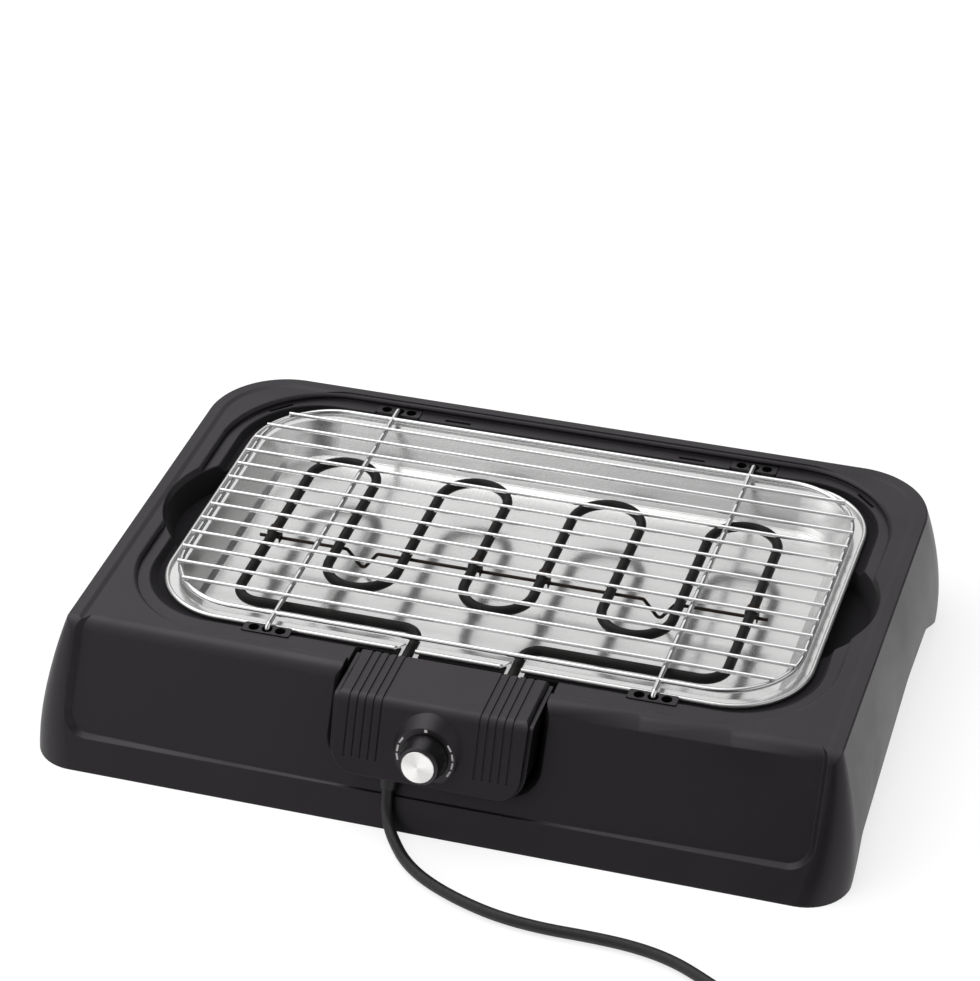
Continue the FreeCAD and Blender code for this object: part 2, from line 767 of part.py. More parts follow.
def make_drip_tray():
    bead_z = SHELF_Z + BEAD_LIFT + TRAY_BEAD / 2
    bead = tube(tray_plan(TRAY_BEAD / 2, bead_z).Edges, TRAY_BEAD)
    flange = prism(tray_plan(TRAY_BEAD / 2, SHELF_Z), TRAY_SHEET)
    sheet = joined([flange, bead, tray_bowl(TRAY_SHEET, TRAY_FLOOR_Z - TRAY_SHEET)])
    sheet = sheet.cut(tray_bowl(0, TRAY_FLOOR_Z))
    for leg_x in (-LEG_X, LEG_X):
        sheet = sheet.cut(tray_notch(leg_x))
    return sheet


# Heating element


def column_x(index):
    """Place of one straight column of the element."""
    return (index - (ELEMENT_COLUMNS - 1) / 2) * ELEMENT_PITCH


def make_heating_element():
    """Serpentine: from the left leg along the front, through all columns, back to the right leg."""
    bend = ELEMENT_PITCH / 2
    places = [(-LEG_X, LEG_END_Y), (-LEG_X, ELEMENT_RUN_Y), (column_x(0), ELEMENT_RUN_Y)]
    radii = [LEG_BEND, ELEMENT_CORNER]
    for index in range(ELEMENT_COLUMNS - 1):
        turn_y = ELEMENT_BACK_Y if index % 2 == 0 else ELEMENT_FRONT_Y
        places += [(column_x(index), turn_y), (column_x(index + 1), turn_y)]
        radii += [bend, bend]
    places += [(column_x(ELEMENT_COLUMNS - 1), ELEMENT_RUN_Y), (LEG_X, ELEMENT_RUN_Y), (LEG_X, LEG_END_Y)]
    radii += [ELEMENT_CORNER, LEG_BEND]
    return tube(open_path([Vector(x, y, ELEMENT_Z) for x, y in places], radii), ELEMENT_DIAMETER)


def make_element_terminals():
    pin = Part.makeCylinder(PIN_DIAMETER / 2, PIN_LENGTH, Vector(LEG_X, LEG_END_Y, ELEMENT_Z), Vector(0, -1, 0))
    return solids(both_sides([pin]))


def support_z():
    """Height of the support wire, which touches the element from below."""
    return ELEMENT_Z - ELEMENT_DIAMETER / 2 - CLIP_FIT - SUPPORT_DIAMETER / 2


def make_support_wire():
    """Wire under the columns with two V feet that stand on the tray's floor."""
    end_x = column_x(ELEMENT_COLUMNS - 1) + SUPPORT_OVERHANG
    foot_z = TRAY_FLOOR_Z + SUPPORT_CLEARANCE + SUPPORT_DIAMETER / 2
    right = [
        (SUPPORT_FOOT_X - SUPPORT_FOOT_HALF, support_z()),
        (SUPPORT_FOOT_X, foot_z),
        (SUPPORT_FOOT_X + SUPPORT_FOOT_HALF, support_z()),
    ]
    left = [(-x, z) for x, z in reversed(right)]
    places = [(-end_x, support_z())] + left + right + [(end_x, support_z())]
    points = [Vector(x, SUPPORT_Y, z) for x, z in places]
    return tube(open_path(points, [SUPPORT_BEND] * len(left + right)), SUPPORT_DIAMETER)


def make_element_clips():
    """Sheet straps over four columns, with a hole in each leg for the support wire."""
    inner = ELEMENT_DIAMETER / 2 + CLIP_FIT
    outer = inner + CLIP_SHEET
    low = support_z() - SUPPORT_DIAMETER / 2 - CLIP_SHEET
    back = Vector(0, 1, 0)
    clips = []
    for index in CLIP_COLUMNS:
        x = column_x(index)
        start = Vector(x, SUPPORT_Y - CLIP_WIDTH / 2, ELEMENT_Z)
        y0, y1 = start.y, start.y + CLIP_WIDTH
        strap = Part.makeCylinder(outer, CLIP_WIDTH, start, back)
        strap = strap.fuse(block(x - outer, x + outer, y0, y1, low, ELEMENT_Z))
        strap = strap.cut(Part.makeCylinder(inner, CLIP_WIDTH, start, back))
        strap = strap.cut(block(x - inner, x + inner, y0, y1, low, ELEMENT_Z))
        wire = Vector(x - outer, SUPPORT_Y, support_z())
        hole = Part.makeCylinder(SUPPORT_DIAMETER / 2 + CLIP_FIT, 2 * outer, wire, Vector(1, 0, 0))
        clips.append(strap.cut(hole).removeSplitter())
    return solids(clips)


# Control box


def box_front_y(z, inset):
    """Place of the sloping front at height z, drawn in by inset."""
    steep = math.hypot(BOX_HEIGHT, BOX_LEAN) / BOX_HEIGHT
    return BOX_CREASE_Y - (BOX_TOP_Z - z) * BOX_LEAN / BOX_HEIGHT + inset * steep


def box_side(half, inset_front, inset_back):
    """Side profile of the control box, drawn in at top and front and at its other sides, as wide as asked."""
    top = BOX_TOP_Z - inset_front
    bottom = BOX_BOTTOM_Z + inset_back
    saddle = SADDLE_Z + inset_back
    back = BOX_BACK_Y - inset_back
    rear = BOX_REAR_Y - inset_back
    crease = max(BOX_CREASE - inset_front, BOX_WALL / 2)
    points = [
        Vector(-half, back, saddle),
        Vector(-half, back, top),
        Vector(-half, box_front_y(top, inset_front), top),
        Vector(-half, box_front_y(bottom, inset_front), bottom),
        Vector(-half, rear, bottom),
        Vector(-half, rear, saddle),
    ]
    face = Part.Face(closed_loop(points, [0, 0, crease, 0, 0, 0]))
    return face.extrude(Vector(2 * half, 0, 0))


def box_solid(half, inset):
    """Control box as a solid, with its lower corners rounded in front view."""
    bottom = BOX_BOTTOM_Z + inset
    top = BOX_TOP_Z - inset
    reach = BOX_BACK_Y + BOX_WALL
    low_half = half - BOX_TAPER
    points = [
        Vector(-low_half, reach, bottom),
        Vector(low_half, reach, bottom),
        Vector(half, reach, top),
        Vector(-half, reach, top),
    ]
    radii = [BOX_CORNER - inset, BOX_CORNER - inset, BOX_EDGE, BOX_EDGE]
    front = Part.Face(closed_loop(points, radii)).extrude(Vector(0, -FAR / 2, 0))
    return box_side(half, inset, inset).common(front)


def dial_way():
    """Direction of the knob's axis, out of the box."""
    tilt = math.radians(DIAL_TILT)
    return Vector(0, -math.cos(tilt), math.sin(tilt))


def dial_turned(profile):
    """Solid of revolution about the knob's axis; heights are counted outwards from the dial's face."""
    return turned(profile, Vector(0, DIAL_Y, DIAL_Z), dial_way())


def dial_rod(radius, low, high):
    """Cylinder on the knob's axis."""
    return dial_turned([(0, low), (radius, low), (radius, high), (0, high)])


def dial_boss():
    """Round boss that carries the dial's face, out of the sloping front and no lower than the box."""
    wide = DIAL_RADIUS + DIAL_FLARE * DIAL_DEPTH
    cone = dial_turned([(0, -DIAL_DEPTH), (wide, -DIAL_DEPTH), (DIAL_RADIUS, 0), (0, 0)])
    boss = cone.cut(box_side(FAR, BOX_WALL, 0))
    return boss.common(block(-FAR, FAR, -FAR, FAR, BOX_BOTTOM_Z, BOX_TOP_Z))


def leg_holes():
    """Holes for the element's legs through the back of the box."""
    radius = ELEMENT_DIAMETER / 2 + LEG_HOLE_CLEARANCE
    start = Vector(LEG_X, BOX_BACK_Y + BOX_WALL, ELEMENT_Z)
    return both_sides([Part.makeCylinder(radius, 3 * BOX_WALL, start, Vector(0, -1, 0))])


def gland_way():
    """Direction in which the cord leaves the box, along its sloping front."""
    return Vector(0, -BOX_LEAN, -BOX_HEIGHT).normalize()


def gland_start():
    """Where the cord's axis leaves the underside of the box."""
    return Vector(GLAND_X, box_front_y(BOX_BOTTOM_Z, GLAND_FROM_FRONT), BOX_BOTTOM_Z)


def gland_end():
    """Tip of the gland, where the free cord begins."""
    return gland_start() + gland_way() * GLAND_LENGTH


def gland_hole():
    """Hole in the underside of the box that the gland sits in."""
    length = GLAND_INSIDE + GLAND_FIT + GLAND_LENGTH
    start = gland_end() - gland_way() * length
    return Part.makeCylinder(GLAND_RADIUS + GLAND_FIT, length, start, gland_way())


def post_places():
    """The four screws of the box: x and z."""
    return [(side * POST_X, BOX_BOTTOM_Z + up) for side in (-1, 1) for up in (POST_LOW, POST_HIGH)]


def rod_y(x, z, radius, front_y, back_y):
    """Cylinder parallel to Y."""
    return Part.makeCylinder(radius, back_y - front_y, Vector(x, front_y, z), Vector(0, 1, 0))


def grooves():
    """Five grooves on each side of the dial, over the top and down the front."""
    half = GROOVE_WIDTH / 2
    strip = box_side(half, 0, 0).cut(box_side(half, GROOVE_DEPTH, 0))
    low = BOX_TOP_Z - GROOVE_END
    strip = strip.common(block(-half, half, -FAR, BOX_BACK_Y, low, BOX_TOP_Z))
    cutters = []
    for index in range(GROOVE_COUNT):
        cutter = strip.copy()
        cutter.translate(Vector(GROOVE_INNER_X + index * GROOVE_PITCH, 0, 0))
        cutters.append(cutter)
    return both_sides(cutters)


def make_control_box_cover():
    inner_half = BOX_HALF_COVER - BOX_WALL
    outer = box_solid(BOX_HALF_COVER, 0)
    inner = box_solid(inner_half, BOX_WALL)
    post_end_y = BOX_REAR_Y - SCREW_BOSS_LENGTH
    shell = outer.cut(box_side(FAR, BOX_PARTING, 0)).cut(inner)
    shell = shell.fuse(dial_boss())
    shell = shell.cut(dial_rod(DIAL_RADIUS - DIAL_WALL, -DIAL_DEPTH, -DIAL_WALL))
    posts = [rod_y(x, z, POST_RADIUS, -FAR, post_end_y).common(outer) for x, z in post_places()]
    shell = joined([shell] + posts)
    cuts = [dial_rod(BUSHING_RADIUS + BUSHING_FIT, -DIAL_DEPTH, DIAL_WALL), gland_hole()]
    cuts += leg_holes() + grooves()
    cuts += [rod_y(x, z, SCREW_DIAMETER / 2, post_end_y - SCREW_LENGTH, post_end_y) for x, z in post_places()]
    for shape in cuts:
        shell = shell.cut(shape)
    return shell


def make_control_box_base():
    inner_half = BOX_HALF_COVER - BOX_WALL
    boss_end_y = BOX_REAR_Y - SCREW_BOSS_LENGTH
    head_radius = SCREW_HEAD_RADIUS + SCREW_CLEARANCE
    shank_radius = SCREW_DIAMETER / 2 + SCREW_CLEARANCE
    head_y = BOX_REAR_Y - SCREW_HEAD_HEIGHT - SCREW_CLEARANCE
    shell = box_solid(BOX_HALF_BASE, 0).common(box_side(FAR, BOX_PARTING, 0))
    shell = shell.cut(box_solid(inner_half, BOX_WALL))
    bosses = [rod_y(x, z, SCREW_BOSS_RADIUS, boss_end_y, BOX_REAR_Y) for x, z in post_places()]
    shell = joined([shell] + bosses)
    cuts = leg_holes() + [gland_hole()]
    for x, z in post_places():
        cuts.append(rod_y(x, z, head_radius, head_y, BOX_REAR_Y))
        cuts.append(rod_y(x, z, shank_radius, boss_end_y, BOX_REAR_Y))
    for shape in cuts:
        shell = shell.cut(shape)
    return shell


def make_box_screws():
    head_y = BOX_REAR_Y - SCREW_HEAD_HEIGHT - SCREW_CLEARANCE
    tip_y = BOX_REAR_Y - SCREW_BOSS_LENGTH - SCREW_LENGTH
    screws = []
    for x, z in post_places():
        head = rod_y(x, z, SCREW_HEAD_RADIUS, head_y, head_y + SCREW_HEAD_HEIGHT)
        screws.append(joined([head, rod_y(x, z, SCREW_DIAMETER / 2, tip_y, head_y)]))
    return solids(screws)


# Inside the control box


def make_element_bracket():
    """Plate against the back wall of the saddle that holds both legs."""
    half = LEG_X + BRACKET_MARGIN
    back_y = BOX_BACK_Y - BOX_WALL
    low = ELEMENT_Z - BRACKET_HALF_HEIGHT
    plate = block(-half, half, back_y - BRACKET_SHEET, back_y, low, ELEMENT_Z + BRACKET_HALF_HEIGHT)
    for side in (-1, 1):
        hole = rod_y(side * LEG_X, ELEMENT_Z, ELEMENT_DIAMETER / 2 + BRACKET_FIT, back_y - BRACKET_SHEET, back_y)
        plate = plate.cut(hole)
    return plate


def make_thermostat():
    """Round body behind the dial's face, with a bushing that the knob's shaft turns in."""
    bore = SHAFT_DIAMETER / 2 + SHAFT_FIT
    back = -DIAL_WALL - THERMOSTAT_LENGTH
    return dial_turned(
        [
            (0, back),
            (THERMOSTAT_RADIUS, back),
            (THERMOSTAT_RADIUS, -DIAL_WALL),
            (BUSHING_RADIUS, -DIAL_WALL),
            (BUSHING_RADIUS, 0),
            (bore, 0),
            (bore, -DIAL_WALL - SHAFT_INSIDE - SHAFT_FIT),
            (0, -DIAL_WALL - SHAFT_INSIDE - SHAFT_FIT),
        ]
    )


def make_terminal_block():
    x0 = TERMINAL_X - TERMINAL_LENGTH / 2
    return block(
        x0,
        x0 + TERMINAL_LENGTH,
        TERMINAL_FRONT_Y,
        BOX_INNER_REAR_Y,
        TERMINAL_Z,
        TERMINAL_Z + TERMINAL_HEIGHT,
    )


def lead(points):
    """Insulated wire inside the box."""
    return tube(open_path(points, [LEAD_BEND] * (len(points) - 2)), LEAD_DIAMETER)


def thermostat_tab(x):
    """Point on the thermostat's back face, where a lead ends, at the face's own height there."""
    back = Vector(0, DIAL_Y, DIAL_Z) - dial_way() * (DIAL_WALL + THERMOSTAT_LENGTH + LEAD_GAP)
    return Vector(x, back.y + LEAD_DIAMETER / 2 * math.sin(math.radians(DIAL_TILT)), back.z)


def make_lead_live():
    """From the terminal block to the thermostat."""
    tab = thermostat_tab(-LEAD_SIDE)
    start = Vector(TERMINAL_X + TERMINAL_LENGTH / 2 - LEAD_DIAMETER, TERMINAL_FRONT_Y, tab.z)
    third = Vector(0, (tab.y - start.y) / 3, 0)
    return lead([start, start + third, tab - third, tab])


def make_lead_switched():
    """From the thermostat to the right leg of the element."""
    tab = thermostat_tab(LEAD_SIDE)
    turn_y = (PIN_END_Y + tab.y) / 2
    return lead(
        [
            tab,
            Vector(tab.x, turn_y, tab.z),
            Vector(LEG_X, turn_y, tab.z),
            Vector(LEG_X, turn_y, ELEMENT_Z),
            Vector(LEG_X, PIN_END_Y, ELEMENT_Z),
        ]
    )


def make_lead_neutral():
    """From the left leg of the element down to the terminal block."""
    turn_y = min(PIN_END_Y, TERMINAL_FRONT_Y) - LEAD_REACH
    low = TERMINAL_Z + TERMINAL_HEIGHT / 2
    return lead(
        [
            Vector(-LEG_X, PIN_END_Y, ELEMENT_Z),
            Vector(-LEG_X, turn_y, ELEMENT_Z),
            Vector(-LEG_X, turn_y, low),
            Vector(-LEG_X, TERMINAL_FRONT_Y, low),
        ]
    )


def make_lead_earth():
    """From the terminal block up to the bracket."""
    y = TERMINAL_FRONT_Y + TERMINAL_DEPTH / 2
    plate_y = BOX_BACK_Y - BOX_WALL - BRACKET_SHEET
    return lead(
        [
            Vector(TERMINAL_X, y, TERMINAL_Z + TERMINAL_HEIGHT),
            Vector(TERMINAL_X, y, ELEMENT_Z),
            Vector(TERMINAL_X, plate_y, ELEMENT_Z),
        ]
    )


# Knob


def make_knob():
    """Hollow knob, a little narrower at its face, with a hub for the shaft and a seat for the cap."""
    low = KNOB_GAP
    high = KNOB_GAP + KNOB_HEIGHT
    roof = high - KNOB_ROOF
    bore = SHAFT_DIAMETER / 2 + CAP_FIT
    return dial_turned(
        [
            (KNOB_RADIUS - KNOB_WALL, low),
            (KNOB_RADIUS, low),
            (KNOB_TOP_RADIUS, high - KNOB_EDGE),
            (KNOB_TOP_RADIUS - KNOB_EDGE, high),
            (CAP_RADIUS + CAP_FIT, high),
            (CAP_RADIUS + CAP_FIT, high - CAP_SEAT),
            (0, high - CAP_SEAT),
            (0, roof),
            (bore, roof),
            (bore, low),
            (KNOB_HUB_RADIUS, low),
            (KNOB_HUB_RADIUS, roof),
            (KNOB_TOP_RADIUS - KNOB_WALL, roof),
        ]
    )


def make_knob_cap():
    """Thin disc on the knob's face."""
    low = KNOB_GAP + KNOB_HEIGHT - CAP_SEAT
    bevel = CAP_HEIGHT / 4
    return dial_turned(
        [
            (0, low),
            (CAP_RADIUS, low),
            (CAP_RADIUS, low + CAP_HEIGHT - bevel),
            (CAP_RADIUS - bevel, low + CAP_HEIGHT),
            (0, low + CAP_HEIGHT),
        ]
    )


def make_thermostat_shaft():
    high = KNOB_GAP + KNOB_HEIGHT - KNOB_ROOF
    return dial_rod(SHAFT_DIAMETER / 2, -DIAL_WALL - SHAFT_INSIDE, high)


# Grid


def loop_x(y):
    """Half width of the grid's loop at a given y, on the loop's centre line."""
    past = abs(y) - (LOOP_HALF_Y - LOOP_RADIUS)
    if past <= 0:
        return LOOP_HALF_X
    return LOOP_HALF_X - LOOP_RADIUS + math.sqrt(LOOP_RADIUS ** 2 - past ** 2)


def make_grid_loop():
    """Rounded frame: its path starts and ends in the middle of the front side."""
    points = [
        Vector(0, -LOOP_HALF_Y, LOOP_Z),
        Vector(LOOP_HALF_X, -LOOP_HALF_Y, LOOP_Z),
        Vector(LOOP_HALF_X, LOOP_HALF_Y, LOOP_Z),
        Vector(-LOOP_HALF_X, LOOP_HALF_Y, LOOP_Z),
        Vector(-LOOP_HALF_X, -LOOP_HALF_Y, LOOP_Z),
        Vector(0, -LOOP_HALF_Y, LOOP_Z),
    ]
    return tube(open_path(points, [LOOP_RADIUS] * 4), BAR_DIAMETER)


def make_grid_bar(loop):
    """Bar at the right, welded inside the loop, with a bent leg outside it at each end."""
    tip_z = BLOCK_TOP_Z - HOLE_DEPTHS[1] + LEG_CLEARANCE
    points = [
        Vector(BAR_X, -BLOCK_Y, tip_z),
        Vector(BAR_X, -BLOCK_Y, LOOP_Z),
        Vector(BAR_X, BLOCK_Y, LOOP_Z),
        Vector(BAR_X, BLOCK_Y, tip_z),
    ]
    return tube(open_path(points, [BAR_BEND] * 2), BAR_DIAMETER).cut(loop)


def make_grid_wires():
    """Straight wires across the loop, evenly spaced, each as long as the loop is wide there."""
    pitch = 2 * LOOP_HALF_Y / (WIRE_COUNT + 1)
    wires = []
    for index in range(WIRE_COUNT):
        y = (index - (WIRE_COUNT - 1) / 2) * pitch
        half = loop_x(y) + BAR_DIAMETER / 2
        start = Vector(-half, y, WIRE_Z)
        wires.append(Part.makeCylinder(WIRE_DIAMETER / 2, 2 * half, start, Vector(1, 0, 0)))
    return solids(wires)


# Cord and plug


def make_cord_gland():
    """Tapered sleeve, clamped in the underside of the box between cover and base."""
    bore = CORD_DIAMETER / 2 + GLAND_FIT
    return turned(
        [
            (bore, -GLAND_INSIDE),
            (GLAND_RADIUS, -GLAND_INSIDE),
            (GLAND_RADIUS, BOX_WALL),
            (GLAND_TIP_RADIUS, GLAND_LENGTH),
            (bore, GLAND_LENGTH),
        ],
        gland_start(),
        gland_way(),
    )


def make_cord_inner():
    """Inner end of the cord, from the gland to the terminal block."""
    way = gland_way()
    level = TERMINAL_Z + TERMINAL_HEIGHT / 2
    turn = gland_end() + way * ((level - gland_end().z) / way.z)
    points = [gland_end(), turn, Vector(GLAND_X, TERMINAL_FRONT_Y, level)]
    return tube(open_path(points, [CORD_INNER_BEND]), CORD_DIAMETER)


def heading(degrees):
    """Level direction."""
    return Vector(math.cos(math.radians(degrees)), math.sin(math.radians(degrees)), 0)


def cord_route():
    """The cord's free stretch: down the front, then over the table to the right, to the coil."""
    before_coil = Vector(231.0, -305.8, COIL_Z)
    return [
        gland_end(),
        gland_end() + gland_way() * 8.5,
        Vector(-20.8, -202.0, 9.4),
        Vector(-16.0, -209.6, 5.0),
        Vector(-9.4, -218.6, TABLE_Z),
        Vector(-2.0, -228.2, TABLE_Z),
        Vector(9.0, -238.2, TABLE_Z),
        Vector(24.0, -247.2, TABLE_Z),
        Vector(43.0, -255.2, TABLE_Z),
        Vector(66.0, -261.8, TABLE_Z),
        Vector(93.0, -264.4, TABLE_Z),
        Vector(122.0, -263.6, TABLE_Z),
        Vector(148.0, -264.8, TABLE_Z),
        Vector(171.0, -270.2, TABLE_Z),
        Vector(191.5, -280.6, TABLE_Z),
        Vector(211.5, -293.0, TABLE_Z + 0.4),
        before_coil,
        before_coil + heading(COIL_HEADING) * 22.0,
    ]


def largest_radii(points):
    """At each inner point the largest arc that its two runs leave room for."""
    radii = []
    for index in range(1, len(points) - 1):
        before = points[index] - points[index - 1]
        after = points[index + 1] - points[index]
        turn = before.getAngle(after)
        radii.append(0.45 * min(before.Length, after.Length) / math.tan(turn / 2))
    return radii


def cord_tube(name, points):
    """Tube of a free stretch, with its radii and its volume against section times length."""
    radii = largest_radii(points)
    edges = open_path(points, radii)
    shape = tube(edges, CORD_DIAMETER)
    length = sum(edge.Length for edge in edges)
    ideal = length * math.pi * CORD_DIAMETER ** 2 / 4
    print(name, "radii", [round(radius, 1) for radius in radii])
    print(name, "length %.1f, volume ratio %.5f" % (length, shape.Volume / ideal))
    return shape


def coil_start():
    """Where the coil's straight lead-in ends and its first turn begins."""
    return cord_route()[-1] + heading(COIL_HEADING) * CORD_DIAMETER


def coil_centre():
    """Middle of the coil, which winds clockwise, to the right of the way the cord arrives."""
    return coil_start() + heading(COIL_HEADING - 90) * COIL_OUTER


def coil_edges():
    """The coil spirals in on the table, climbs a layer in the half turn where it reverses, and spirals out."""
    centre = coil_centre()
    radii = [COIL_OUTER - index * COIL_STEP for index in range(COIL_HALF_TURNS_IN + 1)]
    radii += [radii[-1] + index * COIL_STEP for index in range(COIL_HALF_TURNS_OUT + 1)]
    points = []
    ways = []
    for index, radius in enumerate(radii):
        side = 1 if index % 2 == 0 else -1
        lift = 0 if index <= COIL_HALF_TURNS_IN else COIL_LAYER
        points.append(centre + heading(COIL_HEADING + 90) * (side * radius) + UP * lift)
        ways.append(heading(COIL_HEADING) * side)
    edges = [Part.LineSegment(cord_route()[-1], points[0]).toShape()]
    for index in range(len(points) - 1):
        edges += biarc(points[index], ways[index], points[index + 1], ways[index + 1])
    edges.append(Part.LineSegment(points[-1], points[-1] + ways[-1] * CORD_DIAMETER).toShape())
    return edges


def coil_gap(edges):
    """Least gap of the coil to itself, measured between points on its centre line more than a half turn apart."""
    steps = 16
    points = []
    for edge in edges[1:-1]:
        points += edge.discretize(steps + 1)[:-1]
    apart = 2 * steps
    least = min(
        (points[first] - points[second]).Length
        for first in range(len(points))
        for second in range(first + apart, len(points))
    )
    return least - CORD_DIAMETER


def make_cord_coil():
    edges = coil_edges()
    length = sum(edge.Length for edge in edges)
    shape = tube(edges, CORD_DIAMETER)
    ideal = length * math.pi * CORD_DIAMETER ** 2 / 4
    print("coil length %.1f, volume ratio %.5f" % (length, shape.Volume / ideal))
    print("coil least gap %.2f" % coil_gap(edges))
    return shape


def tie_radii():
    """Innermost and outermost radius of the loops under the tie."""
    part = TIE_ANGLE / 180
    inner = COIL_OUTER - (COIL_HALF_TURNS_IN - 1 + part) * COIL_STEP
    outer = COIL_OUTER - part * COIL_STEP
    return inner, outer


def make_cord_tie():
    """Band round all the loops at one place."""
    inner, outer = tie_radii()
    reach = CORD_DIAMETER / 2 + TIE_SIDE_CLEARANCE
    low = COIL_Z - CORD_DIAMETER / 2 - TIE_CLEARANCE
    high = COIL_Z + COIL_LAYER + CORD_DIAMETER / 2 + TIE_CLEARANCE
    half = TIE_WIDTH / 2
    space = block(inner - reach, outer + reach, -half, half, low, high)
    band = block(
        inner - reach - TIE_SHEET,
        outer + reach + TIE_SHEET,
        -half,
        half,
        low - TIE_SHEET,
        high + TIE_SHEET,
    )
    band = band.cut(space)
    band.rotate(Vector(0, 0, 0), UP, COIL_HEADING + 90 - TIE_ANGLE)
    band.translate(Vector(coil_centre().x, coil_centre().y, 0))
    return band


def tail_route():
    """From the top of the coil up to the plug's neck."""
    last = coil_edges()[-1]
    start = last.valueAt(last.LastParameter)
    middle_z = (start.z + PLUG_AXIS_Z) / 2
    first = start + heading(COIL_HEADING) * 15.0
    second = first + heading(COIL_HEADING - 9) * 17.0
    third = second + heading(COIL_HEADING - 18) * 17.0
    end = third + heading(COIL_HEADING - 24) * 15.0
    second.z = middle_z
    third.z = PLUG_AXIS_Z
    end.z = PLUG_AXIS_Z
    return [start, first, second, third, end]


def plug_place():
    """Where the cord enters the plug, and the plug's axis."""
    route = tail_route()
    return route[-1], (route[-1] - route[-2]).normalize()


def make_plug_body():
    """Round moulded plug: ribless neck, cone, head."""
    start, way = plug_place()
    cone = PLUG_NECK + PLUG_CONE
    return turned(
        [
            (0, 0),
            (PLUG_NECK_RADIUS, 0),
            (PLUG_NECK_BASE_RADIUS, PLUG_NECK),
            (PLUG_RADIUS - PLUG_NECK_RADIUS, PLUG_NECK + PLUG_CONE / 2),
            (PLUG_RADIUS, cone),
            (PLUG_RADIUS, cone + PLUG_HEAD),
            (0, cone + PLUG_HEAD),
        ],
        start,
        way,
    )


def make_plug_pins():
    start, way = plug_place()
    across = way.cross(UP)
    face = start + way * (PLUG_NECK + PLUG_CONE + PLUG_HEAD)
    pins = []
    for side in (-1, 1):
        place = face + across * (side * PLUG_PIN_SPACING / 2)
        pins.append(Part.makeCylinder(PLUG_PIN_DIAMETER / 2, PLUG_PIN_LENGTH, place, way))
    return solids(pins)


# Assembly


def make_nodes():
    """Every sub-part of the grill itself, by name."""
    front_block = make_grid_block(-1)
    back_block = make_grid_block(1)
    loop = make_grid_loop()
    bar = make_grid_bar(loop)
    return {
        "housing": make_housing(),
        "grid_block_front_left": mirrored(front_block),
        "grid_block_front_right": front_block,
        "grid_block_back_left": mirrored(back_block),
        "grid_block_back_right": back_block,
        "drip_tray": make_drip_tray(),
        "heating_element": make_heating_element(),
        "element_terminals": make_element_terminals(),
        "element_support_wire": make_support_wire(),
        "element_clips": make_element_clips(),
        "element_bracket": make_element_bracket(),
        "control_box_cover": make_control_box_cover(),
        "control_box_base": make_control_box_base(),
        "box_screws": make_box_screws(),
        "thermostat": make_thermostat(),
        "terminal_block": make_terminal_block(),
        "lead_live": make_lead_live(),
        "lead_switched": make_lead_switched(),
        "lead_neutral": make_lead_neutral(),
        "lead_earth": make_lead_earth(),
        "knob": make_knob(),
        "knob_cap": make_knob_cap(),
        "thermostat_shaft": make_thermostat_shaft(),
        "grid_loop": loop,
        "grid_bar_left": mirrored(bar),
        "grid_bar_right": bar,
        "grid_wires": make_grid_wires(),
    }


def make_cord_nodes():
    """The cord with its gland and plug."""
    return {
        "cord_gland": make_cord_gland(),
        "cord_inner": make_cord_inner(),
        "cord_free": cord_tube("cord", cord_route()),
        "cord_coil": make_cord_coil(),
        "cord_tie": make_cord_tie(),
        "cord_tail": cord_tube("tail", tail_route()),
        "plug_body": make_plug_body(),
        "plug_pins": make_plug_pins(),
    }


def footprint_shift(shapes):
    """Move that brings the middle of the footprint to the origin and the lowest point to zero."""
    box = FreeCAD.BoundBox()
    for shape in shapes:
        box.add(shape.optimalBoundingBox(False, False))
    return Vector(-box.Center.x, -box.Center.y, -box.ZMin)


def main():
    os.makedirs("parts", exist_ok=True)
    nodes = make_nodes()
    shift = footprint_shift(nodes.values())
    nodes.update(make_cord_nodes())
    print("shift %.4f %.4f %.4f" % (shift.x, shift.y, shift.z))
    for name, shape in nodes.items():
        shape.translate(shift)
        print("%-24s solids %2d valid %s volume %10.1f" % (name, len(shape.Solids), shape.isValid(), shape.Volume))
        shape.exportStep("parts/%s.step" % name)


main()
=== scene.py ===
# %% [markdown]
# # Open tabletop electric grill
# The imported model gives every rigid piece its shape and place. This lesson adds what a solid can't say:
# the grain of the moulding, the shine of the metal, the printed marks, the cord that lies on the table,
# and the light. The first cell loads the imported model and a way to read the box of any of its pieces.
# The dressed grill may not outgrow it.

import bpy
import bmesh
import math
from mathutils import Matrix, Vector


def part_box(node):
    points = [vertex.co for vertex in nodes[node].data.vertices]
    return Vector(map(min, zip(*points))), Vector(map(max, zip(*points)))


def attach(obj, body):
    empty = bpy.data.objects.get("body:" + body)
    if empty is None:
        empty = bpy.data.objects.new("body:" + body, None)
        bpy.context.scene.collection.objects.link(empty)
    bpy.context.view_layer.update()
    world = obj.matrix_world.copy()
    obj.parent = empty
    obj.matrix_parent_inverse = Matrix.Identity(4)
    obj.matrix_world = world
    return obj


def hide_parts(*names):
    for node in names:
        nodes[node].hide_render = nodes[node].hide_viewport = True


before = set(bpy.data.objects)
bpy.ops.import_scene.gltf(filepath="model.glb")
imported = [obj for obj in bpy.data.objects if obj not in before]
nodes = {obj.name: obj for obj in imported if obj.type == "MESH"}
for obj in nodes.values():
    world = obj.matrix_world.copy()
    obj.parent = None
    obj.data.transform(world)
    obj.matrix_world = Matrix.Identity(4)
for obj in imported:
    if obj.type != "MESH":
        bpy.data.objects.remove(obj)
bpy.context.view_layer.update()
scene = bpy.context.scene
scene.view_settings.view_transform = "Standard"
MM = 0.001

# %% [markdown]
# The source was drawn from the middle of the grid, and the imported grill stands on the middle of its
# footprint. The wire loop is even to front and back, so the middle of its box is where the source has
# its zero. Every place below is written in the source's millimetres and goes through this one function.

